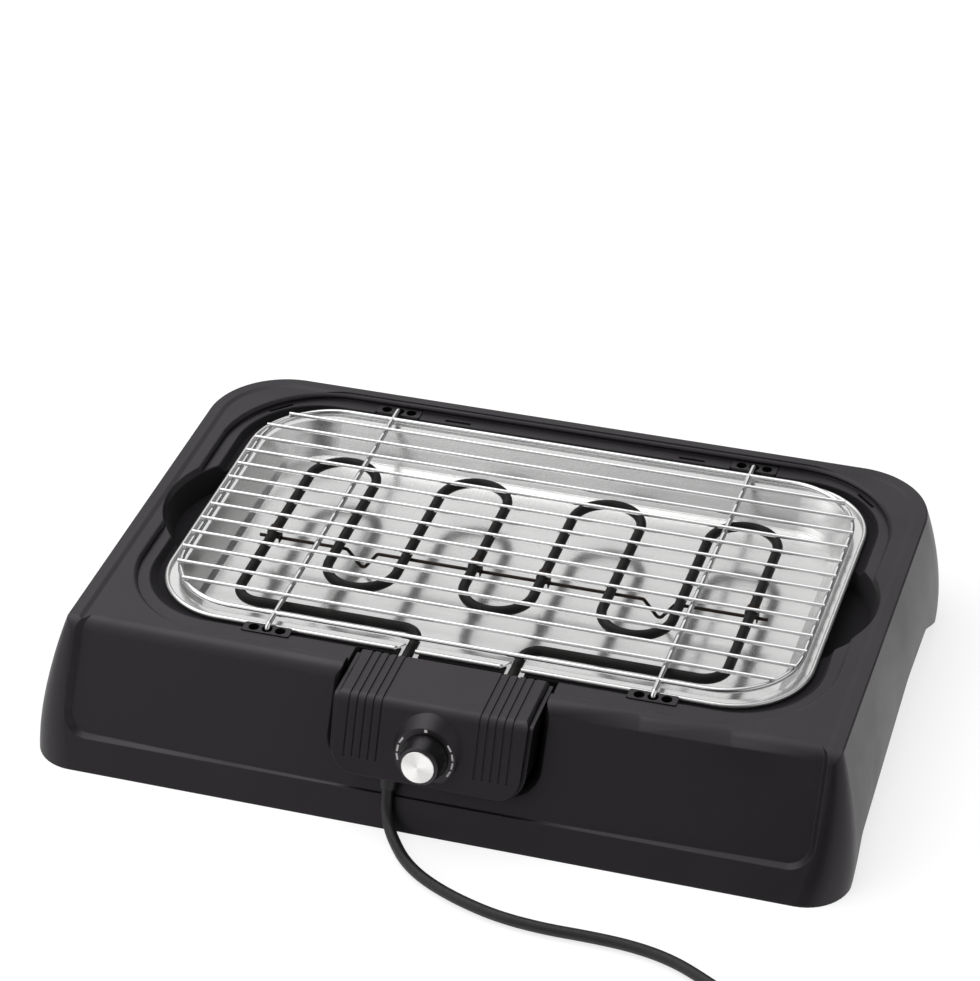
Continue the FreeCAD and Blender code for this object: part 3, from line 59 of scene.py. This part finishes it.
# %% From the source's millimetres to the frame
loop_low, loop_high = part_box("grid_loop")
GRID_MIDDLE = Vector((0, (loop_low.y + loop_high.y) / 2, 0))


def place(x, y, z):
    """A point of the source, in the frame's metres."""
    return Vector((x, y, z)) * MM + GRID_MIDDLE


print("grid middle", [round(value, 4) for value in GRID_MIDDLE])

# %% [markdown]
# The photograph looks down on the grill from the right of its front, through a long lens. Three turns
# give the camera: yaw to the left, pitch down, and a slight roll. The axes are built from vectors,
# which is easier to follow than Euler angles when a roll is in play.

# %% Camera
CAMERA_PLACE = place(521.0, -1730.0, 1319.8)
CAMERA_YAW = math.radians(17.3144636)
CAMERA_PITCH = math.radians(33.68187539)
CAMERA_ROLL = math.radians(-0.55769569)
CAMERA_LENS = 129.46
SENSOR = 36.0


def camera_axes(yaw, pitch, roll):
    """Right, up and backward axes of the camera as the columns of a matrix."""
    forward = Vector(
        (-math.sin(yaw) * math.cos(pitch), math.cos(yaw) * math.cos(pitch), -math.sin(pitch))
    )
    level = forward.cross(Vector((0, 0, 1))).normalized()
    upright = level.cross(forward)
    right = level * math.cos(roll) + upright * math.sin(roll)
    up = upright * math.cos(roll) - level * math.sin(roll)
    return Matrix((right, up, -forward)).transposed()


camera_data = bpy.data.cameras.new("view_camera")
camera_data.lens = CAMERA_LENS
camera_data.sensor_width = SENSOR
camera = bpy.data.objects.new("view_camera", camera_data)
scene.collection.objects.link(camera)
axes = camera_axes(CAMERA_YAW, CAMERA_PITCH, CAMERA_ROLL)
camera.matrix_world = Matrix.Translation(CAMERA_PLACE) @ axes.to_4x4()
scene.camera = camera
print("camera at", [round(value, 3) for value in camera.location])

# %% [markdown]
# A material and the world are both networks of nodes. This class adds nodes, links them, and does the
# sums that come up again and again. Noise rarely leaves the middle of its range, so that is the part
# that a span stretches.

# %% Networks of nodes
NOISE_LOW = 0.3
NOISE_HIGH = 0.7


class Network:
    """Nodes and links of a material or of the world."""

    def __init__(self, tree):
        self.tree = tree

    def node(self, kind, **settings):
        """Adds a node and sets its properties."""
        made = self.tree.nodes.new(kind)
        for key, value in settings.items():
            setattr(made, key, value)
        return made

    def link(self, source, target):
        """Joins an output to an input."""
        self.tree.links.new(source, target)

    def reckon(self, operation, first, second=None):
        """One sum on values or numbers of the network."""
        made = self.node("ShaderNodeMath", operation=operation)
        for socket, value in zip(made.inputs, (first, second)):
            if isinstance(value, (int, float)):
                socket.default_value = value
            elif value:
                self.link(value, socket)
        return made.outputs[0]

    def product(self, first, *others):
        """Several values multiplied."""
        for other in others:
            first = self.reckon("MULTIPLY", first, other)
        return first

    def split(self, vector):
        """The three parts of a vector."""
        made = self.node("ShaderNodeSeparateXYZ")
        self.link(vector, made.inputs[0])
        return made.outputs

    def span(self, value, low, high, from_low=NOISE_LOW, from_high=NOISE_HIGH):
        """A value mapped onto a range."""
        made = self.node("ShaderNodeMapRange")
        made.inputs["From Min"].default_value = from_low
        made.inputs["From Max"].default_value = from_high
        made.inputs["To Min"].default_value = low
        made.inputs["To Max"].default_value = high
        self.link(value, made.inputs["Value"])
        return made.outputs["Result"]

    def fade(self, value, gone, full):
        """A value that grows smoothly from none to one between two bounds."""
        made = self.node("ShaderNodeMapRange", interpolation_type="SMOOTHSTEP")
        made.inputs["From Min"].default_value = gone
        made.inputs["From Max"].default_value = full
        self.link(value, made.inputs["Value"])
        return made.outputs["Result"]


# %% [markdown]
# A finish is a small network. Its pattern is read from Object coordinates, so it stays on the piece
# when the piece moves. Values that are the same all over a surface go straight onto the shader's own
# sockets.

# %% A finish
class Finish(Network):
    """A material under construction, with its principled shader."""

    def __init__(self, name, **values):
        self.material = bpy.data.materials.new(name)
        self.material.use_nodes = True
        super().__init__(self.material.node_tree)
        self.shader = self.tree.nodes["Principled BSDF"]
        for socket, value in values.items():
            self.shader.inputs[socket.replace("_", " ")].default_value = value

    def feed(self, socket, source):
        """Links a source to a socket of the shader."""
        self.link(source, self.shader.inputs[socket])

    def coordinates(self, stretch=(1, 1, 1)):
        """Object coordinates, stretched along the axes."""
        source = self.node("ShaderNodeTexCoord")
        mapping = self.node("ShaderNodeMapping")
        mapping.inputs["Scale"].default_value = stretch
        self.link(source.outputs["Object"], mapping.inputs["Vector"])
        return mapping.outputs["Vector"]

    def noise(self, scale, detail=4.0, stretch=(1, 1, 1), roughness=0.5):
        """Noise over the piece, as a grey value."""
        texture = self.node("ShaderNodeTexNoise")
        texture.inputs["Scale"].default_value = scale
        texture.inputs["Detail"].default_value = detail
        texture.inputs["Roughness"].default_value = roughness
        self.link(self.coordinates(stretch), texture.inputs["Vector"])
        return texture.outputs["Fac"]

    def ramp(self, value, stops):
        """Colours at places along a grey value."""
        made = self.node("ShaderNodeValToRGB")
        elements = made.color_ramp.elements
        while len(elements) < len(stops):
            elements.new(0.5)
        for element, (position, colour) in zip(elements, stops):
            element.position = position
            element.color = (*colour, 1.0)
        self.link(value, made.inputs["Fac"])
        return made.outputs["Color"]


# %% [markdown]
# Nearly every surface wanders a little in three ways: in its tone, in its sheen and in its relief. One
# function looks after each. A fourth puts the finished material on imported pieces, through the slots
# they already have.

# %% Tone, sheen and relief
EDGE_SAMPLES = 4


def mottle(finish, dark, light, scale, detail=4.0):
    """Base colour that wanders between two tones."""
    tones = [(NOISE_LOW, dark), (NOISE_HIGH, light)]
    finish.feed("Base Color", finish.ramp(finish.noise(scale, detail), tones))


def sheen(finish, low, high, scale, detail=4.0, stretch=(1, 1, 1)):
    """Roughness that wanders between two values."""
    value = finish.span(finish.noise(scale, detail, stretch), low, high)
    finish.feed("Roughness", value)
    return value


def relief(finish, depth, strength, scale, detail=4.0, edge=0.0):
    """Bump from noise, over edges that are rounded by a radius."""
    bump = finish.node("ShaderNodeBump")
    bump.inputs["Strength"].default_value = strength
    bump.inputs["Distance"].default_value = depth
    finish.link(finish.noise(scale, detail), bump.inputs["Height"])
    if edge:
        round_edge = finish.node("ShaderNodeBevel", samples=EDGE_SAMPLES)
        round_edge.inputs["Radius"].default_value = edge
        finish.link(round_edge.outputs["Normal"], bump.inputs["Normal"])
    finish.feed("Normal", bump.outputs["Normal"])


def dress(finish, *names):
    """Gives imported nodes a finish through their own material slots."""
    for name in names:
        nodes[name].material_slots[0].material = finish.material
    print(finish.material.name, "on", len(names), "nodes")


# %% [markdown]
# The housing and the control box are injection moulded in a black plastic. A tool for such a moulding
# is spark eroded, so the skin has a fine even grain that spreads the light, and wide soft patches where
# it was handled. The shine of this black has a faint cast of violet, which the tint gives it.

# %% Moulded plastic
MOULDED_TINT = (1.0, 0.91, 1.0, 1.0)
GLOSS_BELOW = 0.04
GLOSS_ABOVE = 0.05


def moulded(name, dark, light, rough, grain, edge):
    """Black moulding: fine grain, soft patches of gloss, rounded edges."""
    finish = Finish(name, IOR=1.5, Specular_Tint=MOULDED_TINT)
    mottle(finish, dark, light, scale=9.0, detail=3.0)
    finish.gloss = sheen(finish, rough - GLOSS_BELOW, rough + GLOSS_ABOVE, scale=22.0, detail=5.0)
    relief(finish, depth=grain, strength=0.5, scale=2600.0, detail=2.0, edge=edge)
    return finish


housing_tones = {"dark": (0.0042, 0.0040, 0.0045), "light": (0.0058, 0.0055, 0.0061)}
box_tones = {"dark": (0.0046, 0.0044, 0.0048), "light": (0.0062, 0.0059, 0.0064)}
block_tones = {"dark": (0.004, 0.004, 0.0044), "light": (0.0055, 0.0054, 0.0059)}
knob_tones = {"dark": (0.004, 0.004, 0.0042), "light": (0.0056, 0.0055, 0.0058)}
housing_skin = moulded("housing_skin", **housing_tones, rough=0.40, grain=0.06 * MM, edge=0.9 * MM)
box_skin = moulded("box_skin", **box_tones, rough=0.40, grain=0.04 * MM, edge=0.6 * MM)
block_skin = moulded("block_skin", **block_tones, rough=0.40, grain=0.03 * MM, edge=0.3 * MM)
knob_skin = moulded("knob_skin", **knob_tones, rough=0.33, grain=0.02 * MM, edge=0.4 * MM)
dress(housing_skin, "housing")
dress(box_skin, "control_box_cover", "control_box_base")
dress(block_skin, *[name for name in nodes if name.startswith("grid_block_")])
dress(knob_skin, "knob")

# %% [markdown]
# The faces below the ledge, round the tray and in the finger recesses, are never seen from close by, so
# the tool is left coarse there and they take no shine. Three bounds on Object coordinates pick those
# faces out, and the roughness goes up inside them.

# %% Coarse inner faces of the housing
COARSE = 0.95
COARSE_TOP = place(0, 0, 73.0).z
COARSE_SIDE = place(231.0, 0, 0).x
COARSE_FRONT = place(0, -146.0, 0).y
inner_x, inner_y, inner_z = housing_skin.split(housing_skin.coordinates())
is_low = housing_skin.reckon("LESS_THAN", inner_z, COARSE_TOP)
is_inside = housing_skin.reckon("LESS_THAN", housing_skin.reckon("ABSOLUTE", inner_x), COARSE_SIDE)
is_behind = housing_skin.reckon("GREATER_THAN", inner_y, COARSE_FRONT)
coarse_share = housing_skin.product(is_low, is_inside, is_behind, COARSE)
housing_skin.feed("Roughness", housing_skin.reckon("MAXIMUM", housing_skin.gloss, coarse_share))
print("coarse below", round(COARSE_TOP / MM, 1), "mm")

# %% [markdown]
# The drip tray is pressed from bright sheet. Rolling leaves very fine lines along its length, and the
# press leaves a slight waviness, which is what bends the reflections of the heater.

# %% Pressed bright sheet
ROLLING_STRETCH = (0.02, 1, 1)
tray = Finish("tray_sheet_metal", Metallic=0.8)
mottle(tray, dark=(0.76, 0.76, 0.755), light=(0.80, 0.80, 0.795), scale=14.0)
sheen(tray, low=0.17, high=0.25, scale=900.0, detail=3.0, stretch=ROLLING_STRETCH)
relief(tray, depth=0.6 * MM, strength=0.12, scale=12.0, detail=1.0, edge=0.6 * MM)
dress(tray, "drip_tray")

# %% [markdown]
# The grid is wire with a bright chrome plating. It is nearly a mirror, with a haze of tiny scratches
# from use.

# %% Chrome plated wire
chrome = Finish("grid_chrome_plating", Metallic=1.0)
mottle(chrome, dark=(0.74, 0.745, 0.75), light=(0.82, 0.82, 0.82), scale=60.0)
sheen(chrome, low=0.07, high=0.16, scale=350.0)
relief(chrome, depth=0.04 * MM, strength=0.4, scale=500.0, detail=2.0)
dress(chrome, "grid_loop", "grid_bar_left", "grid_bar_right", "grid_wires")

# %% [markdown]
# The heater is a steel tube with a black oxide. Heat turns the oxide brown in places and leaves it
# matt, like a stove plate, so its colour has three tones. The wire that carries the tube is redder,
# because it is plain steel.

# %% Oxidised steel
OXIDE_TONES = [
    (0.3, (0.006, 0.006, 0.0062)),
    (0.55, (0.010, 0.0095, 0.009)),
    (0.75, (0.018, 0.015, 0.013)),
]
element = Finish("element_oxide", Metallic=0.2, Specular_IOR_Level=0.3)
oxide_pattern = element.noise(scale=70.0, detail=6.0, roughness=0.65)
element.feed("Base Color", element.ramp(oxide_pattern, OXIDE_TONES))
sheen(element, low=0.48, high=0.66, scale=160.0)
relief(element, depth=0.06 * MM, strength=0.6, scale=900.0, detail=3.0)
dress(element, "heating_element")
wire_oxide = Finish("support_wire_oxide", Metallic=0.6)
mottle(wire_oxide, dark=(0.012, 0.008, 0.006), light=(0.032, 0.018, 0.012), scale=120.0, detail=5.0)
sheen(wire_oxide, low=0.4, high=0.6, scale=300.0)
relief(wire_oxide, depth=0.04 * MM, strength=0.5, scale=1200.0)
dress(wire_oxide, "element_support_wire", "element_clips")

# %% [markdown]
# Inside the control box are plain zinc-plated steel and pale mouldings. They are seen only when the box
# is opened, but a part in a library is opened sooner or later. The pins of the plug have the same
# plating.

# %% Inner finishes
zinc = Finish("zinc_plated_steel", Metallic=1.0)
mottle(zinc, dark=(0.47, 0.47, 0.46), light=(0.58, 0.58, 0.565), scale=180.0, detail=5.0)
sheen(zinc, low=0.3, high=0.45, scale=420.0)
relief(zinc, depth=0.03 * MM, strength=0.4, scale=1500.0)
dress(zinc, "element_terminals", "element_bracket", "box_screws", "thermostat_shaft", "plug_pins")
pale = Finish("pale_moulding_skin")
mottle(pale, dark=(0.60, 0.57, 0.50), light=(0.68, 0.65, 0.58), scale=90.0)
sheen(pale, low=0.42, high=0.55, scale=200.0)
relief(pale, depth=0.04 * MM, strength=0.4, scale=1800.0)
dress(pale, "terminal_block", "thermostat")

# %% [markdown]
# The cord, its gland and the plug have a skin of black rubber, and the leads in the control box have a
# greyer one. Rubber is dull, with a fine bloom that comes out as it ages. The tie round the coil is a
# small moulding.

# %% Rubber
BLOOM_BELOW = 0.05
BLOOM_ABOVE = 0.07


def rubber(name, dark, light, rough):
    """Black rubber: a dull skin with a fine bloom."""
    finish = Finish(name)
    mottle(finish, dark, light, scale=130.0, detail=5.0)
    sheen(finish, rough - BLOOM_BELOW, rough + BLOOM_ABOVE, scale=420.0)
    relief(finish, depth=0.05 * MM, strength=0.5, scale=1700.0, detail=3.0)
    return finish


cord_skin = rubber("cord_skin", dark=(0.006, 0.006, 0.0063), light=(0.009, 0.0089, 0.0092), rough=0.5)
lead_skin = rubber("lead_skin", dark=(0.02, 0.02, 0.02), light=(0.03, 0.03, 0.03), rough=0.55)
tie_tones = {"dark": (0.02, 0.02, 0.02), "light": (0.026, 0.026, 0.026)}
tie_skin = moulded("tie_skin", **tie_tones, rough=0.42, grain=0.02 * MM, edge=0.2 * MM)
dress(cord_skin, "cord_gland", "cord_inner", "cord_free", "cord_coil", "cord_tail", "plug_body")
dress(lead_skin, "lead_live", "lead_switched", "lead_neutral", "lead_earth")
dress(tie_skin, "cord_tie")

# %% [markdown]
# The knob's cap is turned aluminium: the tool leaves rings, and a painted reflection lies over them as a
# fan of light and dark in the base colour. The angle about the dial's axis gives the painted fan, and the
# noise in its sheen takes the mirror off it.

# %% Turned metal of the cap
DIAL_TILT = math.radians(11.0)
DIAL_AXIS = Vector((0.0, -math.cos(DIAL_TILT), math.sin(DIAL_TILT)))
PAINTED_REFLECTION_PAIRS = 2.0
PAINTED_REFLECTION_TONES = [(0.1, (0.70, 0.69, 0.68)), (0.9, (0.92, 0.915, 0.905))]
cap_low, cap_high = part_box("knob_cap")
CAP_MIDDLE = (cap_low + cap_high) / 2
cap = Finish("turned_cap_metal", Metallic=1.0)
cap_turn = cap.node("ShaderNodeMapping", vector_type="TEXTURE")
cap_turn.inputs["Location"].default_value = CAP_MIDDLE
cap_turn.inputs["Rotation"].default_value = (math.acos(DIAL_AXIS.z), 0, 0)
cap.link(cap.node("ShaderNodeTexCoord").outputs["Object"], cap_turn.inputs["Vector"])
cap_parts = cap.split(cap_turn.outputs["Vector"])
cap_angle = cap.reckon("ARCTAN2", cap_parts["Y"], cap_parts["X"])
# painted reflection: a fan of light and dark set into the base colour by the angle about the dial's axis
cap_painted_reflection = cap.reckon("SINE", cap.reckon("MULTIPLY", cap_angle, PAINTED_REFLECTION_PAIRS))
painted_reflection_share = cap.span(cap_painted_reflection, 0, 1, from_low=-1, from_high=1)
cap.feed("Base Color", cap.ramp(painted_reflection_share, PAINTED_REFLECTION_TONES))
sheen(cap, low=0.2, high=0.3, scale=800.0)
dress(cap, "knob_cap")

# %% [markdown]
# The cord is one open spline. Its control points are the route of the source: straight out of the
# gland, down to the table, round in front of the grill and off to the right.

# %% The cord's free run
CORD_RADIUS = 3.5
GLAND_END = (-23.3, -192.525, 23.901)
FREE_ROUTE = [
    GLAND_END,
    (-23.3, -196.05, 16.166),
    (-20.8, -202.0, 9.4),
    (-16.0, -209.6, 5.0),
    (-9.4, -218.6, 3.5),
    (-2.0, -228.2, 3.5),
    (9.0, -238.2, 3.5),
    (24.0, -247.2, 3.5),
    (43.0, -255.2, 3.5),
    (66.0, -261.8, 3.5),
    (93.0, -264.4, 3.5),
    (122.0, -263.6, 3.5),
    (148.0, -264.8, 3.5),
    (171.0, -270.2, 3.5),
    (191.5, -280.6, 3.5),
    (211.5, -293.0, 3.9),
    (231.0, -305.8, 4.8),
    (249.02, -318.42, 4.8),
]
print("points of the free run", len(FREE_ROUTE))

# %% [markdown]
# The length that the photograph doesn't show lies in a coil beside the view, wound by a loop: inward on
# the table, up a layer, and outward again. A spline cuts the corners of its control points, so they
# stand a little further out than the turns they make. A short tail of four legs leads on to the plug.

# %% The cord's coil and tail
COIL_CENTRE = Vector((226.363, -362.982))
COIL_FIRST_ANGLE = 55.0
COIL_OUTER = 49.5
COIL_STEP = 4.6
COIL_RADII = 6
COIL_LOW = 4.8
COIL_HIGH = 12.4
HALF_TURN = 180.0
HALF_TURN_POINTS = 8
TAIL_LEGS = ((22, -35, 12.4), (17, -44, 15.5), (17, -53, 18.6), (15, -59, 18.6))


def towards(angle, run):
    """A run on the table at an angle in degrees."""
    return Vector((math.cos(math.radians(angle)), math.sin(math.radians(angle)))) * run


def between(values, turn, share):
    """A value on the way from one half turn to the next."""
    return values[turn] + (values[turn + 1] - values[turn]) * share


def coil_route():
    """Inward turns on the table, one climbing half turn, then outward turns on top of them."""
    inward = [COIL_OUTER - COIL_STEP * index for index in range(COIL_RADII)]
    radii = inward + inward[:0:-1]
    heights = [COIL_LOW] * COIL_RADII + [COIL_HIGH] * (COIL_RADII - 1)
    spread = 1 / math.cos(math.pi / HALF_TURN_POINTS / 2)
    points = []
    for turn in range(len(radii) - 1):
        for step in range(HALF_TURN_POINTS):
            share = step / HALF_TURN_POINTS
            angle = COIL_FIRST_ANGLE - HALF_TURN * (turn + share)
            spot = COIL_CENTRE + towards(angle, between(radii, turn, share) * spread)
            points.append((*spot, between(heights, turn, share)))
    return points


def tail_route():
    """From the last turn along to the plug's neck: each leg has a run, a heading and a height."""
    spot = COIL_CENTRE + towards(COIL_FIRST_ANGLE, COIL_OUTER - COIL_STEP)
    points = [(*spot, COIL_HIGH)]
    for run, heading, height in TAIL_LEGS:
        spot = spot + towards(heading, run)
        points.append((*spot, height))
    return points


cord_points = FREE_ROUTE + coil_route() + tail_route()
print("points of the whole cord", len(cord_points))

# %% [markdown]
# A spline of order three stays smooth, and its round section gives the cord's thickness. It takes the
# place of the three solids that stand for the cord in the imported model, and rides on the heater,
# because it leaves the control box. The plug, its pins and the tie stay solids.

# %% Lay the cord
cord_curve = bpy.data.curves.new("mains_cord", "CURVE")
cord_curve.dimensions = "3D"
cord_curve.bevel_depth = CORD_RADIUS * MM
cord_curve.bevel_resolution = 4
cord_curve.resolution_u = 6
cord_curve.use_fill_caps = True
spline = cord_curve.splines.new("NURBS")
spline.points.add(len(cord_points) - 1)
for point, (x, y, z) in zip(spline.points, cord_points):
    point.co = (*place(x, y, z), 1.0)
spline.order_u = 3
spline.use_endpoint_u = True
cord_curve.materials.append(cord_skin.material)
mains_cord = bpy.data.objects.new("mains_cord", cord_curve)
scene.collection.objects.link(mains_cord)
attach(mains_cord, "heater_unit")
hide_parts("cord_free", "cord_coil", "cord_tail")
print("cord length", round(spline.calc_length(), 3))

# %% [markdown]
# The dial's face carries a dot at the top and short dashes round the sides, printed in white. Each mark
# is a thin pad of ink: a cube pulled into a flat bar, laid on the face at its angle, with its upright
# edges rounded.

# %% Printed marks on the dial's face
DIAL_FACE = place(0, -191.8674, 51.5)
DIAL_UP = Vector((0, math.sin(DIAL_TILT), math.cos(DIAL_TILT)))
DIAL_RIGHT = Vector((1, 0, 0))
MARK_RADIUS = 17.0 * MM
MARK_LENGTH = 4.4 * MM
MARK_WIDTH = 1.15 * MM
MARK_ROUNDING = 0.42
MARK_ANGLES = (-99.0, -80.0, -60.0, 60.0, 80.0, 99.0, 118.5)
DOT_SIZE = 2.0 * MM
INK_THICKNESS = 0.08 * MM
INK_CLEARANCE = 0.01 * MM
UPRIGHT_COSINE = 0.99
ink = Finish("mark_ink")
mottle(ink, dark=(0.90, 0.90, 0.89), light=(0.96, 0.96, 0.95), scale=700.0)
sheen(ink, low=0.45, high=0.6, scale=900.0)
marks = bmesh.new()


def is_upright(edge):
    """Whether an edge runs along the dial's axis."""
    run = (edge.verts[0].co - edge.verts[1].co).normalized()
    return abs(run.dot(DIAL_AXIS)) > UPRIGHT_COSINE


def add_mark(angle, length, width):
    """One rounded pad of ink, its long side along the circle."""
    turn = math.radians(angle)
    out = DIAL_RIGHT * math.sin(turn) + DIAL_UP * math.cos(turn)
    along = DIAL_RIGHT * math.cos(turn) - DIAL_UP * math.sin(turn)
    basis = Matrix((along, out, DIAL_AXIS)).transposed().to_4x4()
    middle = DIAL_FACE + out * MARK_RADIUS + DIAL_AXIS * (INK_THICKNESS / 2 + INK_CLEARANCE)
    size = Matrix.Diagonal((length, width, INK_THICKNESS, 1))
    made = bmesh.ops.create_cube(marks, size=1, matrix=Matrix.Translation(middle) @ basis @ size)
    edges = dict.fromkeys(edge for vert in made["verts"] for edge in vert.link_edges)
    bmesh.ops.bevel(
        marks,
        geom=[edge for edge in edges if is_upright(edge)],
        offset=width * MARK_ROUNDING,
        segments=4,
        profile=0.5,
        affect="EDGES",
        material=-1,
    )


for mark_angle in MARK_ANGLES:
    add_mark(mark_angle, MARK_LENGTH, MARK_WIDTH)
add_mark(0.0, DOT_SIZE, DOT_SIZE)
marks_mesh = bpy.data.meshes.new("dial_marks")
marks.to_mesh(marks_mesh)
marks.free()
marks_mesh.materials.append(ink.material)
dial_marks = bpy.data.objects.new("dial_marks", marks_mesh)
scene.collection.objects.link(dial_marks)
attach(dial_marks, "heater_unit")
print("dial marks", len(MARK_ANGLES) + 1, "faces", len(marks_mesh.polygons))

# %% [markdown]
# The studio is a pale floor in a grey room, with one wide lamp. The floor glows a little for the camera
# and for mirrors, so that it is white, and it still takes the grill's shadow. It lies a hair below the
# grill, so that the two never share a face.

# %% Floor
FLOOR_SIZE = 60.0
FLOOR_DROP = 0.2 * MM
FLOOR_GLOW = 0.73
floor_mesh = bpy.data.meshes.new("studio_floor")
floor_shape = bmesh.new()
bmesh.ops.create_grid(floor_shape, x_segments=2, y_segments=2, size=FLOOR_SIZE / 2)
floor_shape.to_mesh(floor_mesh)
floor_shape.free()
studio_floor = bpy.data.objects.new("studio_floor", floor_mesh)
studio_floor.location.z = -FLOOR_DROP
scene.collection.objects.link(studio_floor)
floor_paper = Finish("floor_paper", Roughness=0.9, Specular_IOR_Level=0.0, Emission_Color=(1, 1, 1, 1))
mottle(floor_paper, dark=(0.41, 0.41, 0.41), light=(0.43, 0.43, 0.43), scale=3.0)
rays = floor_paper.node("ShaderNodeLightPath").outputs
is_mirrored = floor_paper.reckon("MAXIMUM", rays["Is Glossy Ray"], rays["Is Transmission Ray"])
is_seen = floor_paper.reckon("MAXIMUM", rays["Is Camera Ray"], is_mirrored)
floor_paper.feed("Emission Strength", floor_paper.reckon("MULTIPLY", is_seen, FLOOR_GLOW))
floor_mesh.materials.append(floor_paper.material)
print("floor", FLOOR_SIZE, "m wide, glow", FLOOR_GLOW)

# %% [markdown]
# The world gives each line of sight a level of light. The three parts of the line are what the levels
# are worked out from, and a spot is a round level about a direction, with a soft rim between two
# angles.

# %% Lines of sight
world = bpy.data.worlds.new("studio_world")
scene.world = world
world.use_nodes = True
room = Network(world.node_tree)
sight = room.node("ShaderNodeTexCoord").outputs["Generated"]
sight_x, sight_y, sight_z = room.split(sight)


def round_spot(direction, full_angle, gone_angle):
    """A level that is whole near a direction and gone at an angle from it."""
    facing = room.node("ShaderNodeVectorMath", operation="DOT_PRODUCT")
    facing.inputs[1].default_value = Vector(direction).normalized()
    room.link(sight, facing.inputs[0])
    gone = math.cos(math.radians(gone_angle))
    full = math.cos(math.radians(full_angle))
    return room.fade(facing.outputs["Value"], gone, full)


print("nodes for the lines of sight", len(room.tree.nodes))

# %% [markdown]
# A long strip of light starts behind the grill and runs over its top, so a wire that lies across it
# shines along its whole length, and a bar that lies along it shows one thin bright line between dark
# sides. A round patch on the left of the front lights the sloping panel. Both fade out towards the
# horizon.

# %% Strip and patch of light
STRIP_LEVEL = 0.92
STRIP_MIDDLE = -0.22
STRIP_FULL = 0.14
STRIP_GONE = 0.55
STRIP_FRONT_GONE = -0.8
STRIP_FRONT_FULL = -0.1
PATCH_TOWARDS = (-0.70, -0.62, 0.36)
PATCH_FULL_ANGLE = 10
PATCH_GONE_ANGLE = 48
PATCH_LEVEL = 0.95
HORIZON_GONE = 0.0
HORIZON_FULL = 0.4
aside = room.reckon("ABSOLUTE", room.reckon("SUBTRACT", sight_x, STRIP_MIDDLE))
across = room.reckon("SUBTRACT", 1.0, room.fade(aside, STRIP_FULL, STRIP_GONE))
along = room.fade(sight_y, STRIP_FRONT_GONE, STRIP_FRONT_FULL)
strip = room.product(across, along, STRIP_LEVEL)
patch = room.product(round_spot(PATCH_TOWARDS, PATCH_FULL_ANGLE, PATCH_GONE_ANGLE), PATCH_LEVEL)
above = room.fade(sight_z, HORIZON_GONE, HORIZON_FULL)
lights = room.product(room.reckon("ADD", strip, patch), above)
print("nodes with the strip and the patch", len(room.tree.nodes))

# %% [markdown]
# The rest of the room is grey, and lighter at its sides, apart from two dark screens as a photographer
# would hang them: one at the back beside the strip, which keeps the bars dark, and one in front, which
# keeps the panel dark. A last low level is left everywhere, so nothing mirrors pure black.

# %% Grey room and dark screens
ROOM_LEVEL = 0.06
GREY_LEVEL = 0.17
SIDE_LEVEL = 0.42
SIDE_GONE = 0.4
SIDE_FULL = 0.75
BACK_SCREEN_GONE = 0.35
BACK_SCREEN_FULL = 0.6
BACK_SCREEN_LOW = 0.12
BACK_SCREEN_HIGH = 0.3
FRONT_SCREEN_TOWARDS = (-0.10, -0.90, 0.38)
FRONT_SCREEN_FULL_ANGLE = 22
FRONT_SCREEN_GONE_ANGLE = 46
back_depth = room.fade(sight_y, BACK_SCREEN_GONE, BACK_SCREEN_FULL)
back_height = room.fade(sight_z, BACK_SCREEN_LOW, BACK_SCREEN_HIGH)
open_back = room.reckon("SUBTRACT", 1.0, room.product(back_depth, back_height))
front_screen = round_spot(FRONT_SCREEN_TOWARDS, FRONT_SCREEN_FULL_ANGLE, FRONT_SCREEN_GONE_ANGLE)
open_front = room.reckon("SUBTRACT", 1.0, front_screen)
sides = room.product(room.fade(room.reckon("ABSOLUTE", sight_x), SIDE_GONE, SIDE_FULL), SIDE_LEVEL)
walls = room.product(room.reckon("ADD", sides, GREY_LEVEL), open_back, open_front)
light = room.reckon("ADD", room.reckon("ADD", lights, walls), ROOM_LEVEL)
background = room.tree.nodes["Background"]
background.inputs["Color"].default_value = (1, 1, 1, 1)
room.link(light, background.inputs["Strength"])
print("nodes of the whole world", len(room.tree.nodes))

# %% [markdown]
# One wide lamp hangs over the left of the grill, a little behind it. It throws the soft shadow to the
# right.

# %% Lamp
LAMP_PLACE = Vector((-0.9, 0.5, 1.9))
LAMP_AIM = Vector((0, 0, 0.05))
LAMP_SIZE = 1.5
LAMP_POWER = 10.0
lamp_data = bpy.data.lights.new("left_lamp", "AREA")
lamp_data.shape = "SQUARE"
lamp_data.size = LAMP_SIZE
lamp_data.energy = LAMP_POWER
left_lamp = bpy.data.objects.new("left_lamp", lamp_data)
scene.collection.objects.link(left_lamp)
left_lamp.location = LAMP_PLACE
left_lamp.rotation_euler = (LAMP_AIM - LAMP_PLACE).to_track_quat("-Z", "Y").to_euler()
print("lamp", round((LAMP_PLACE - LAMP_AIM).length, 2), "m away")
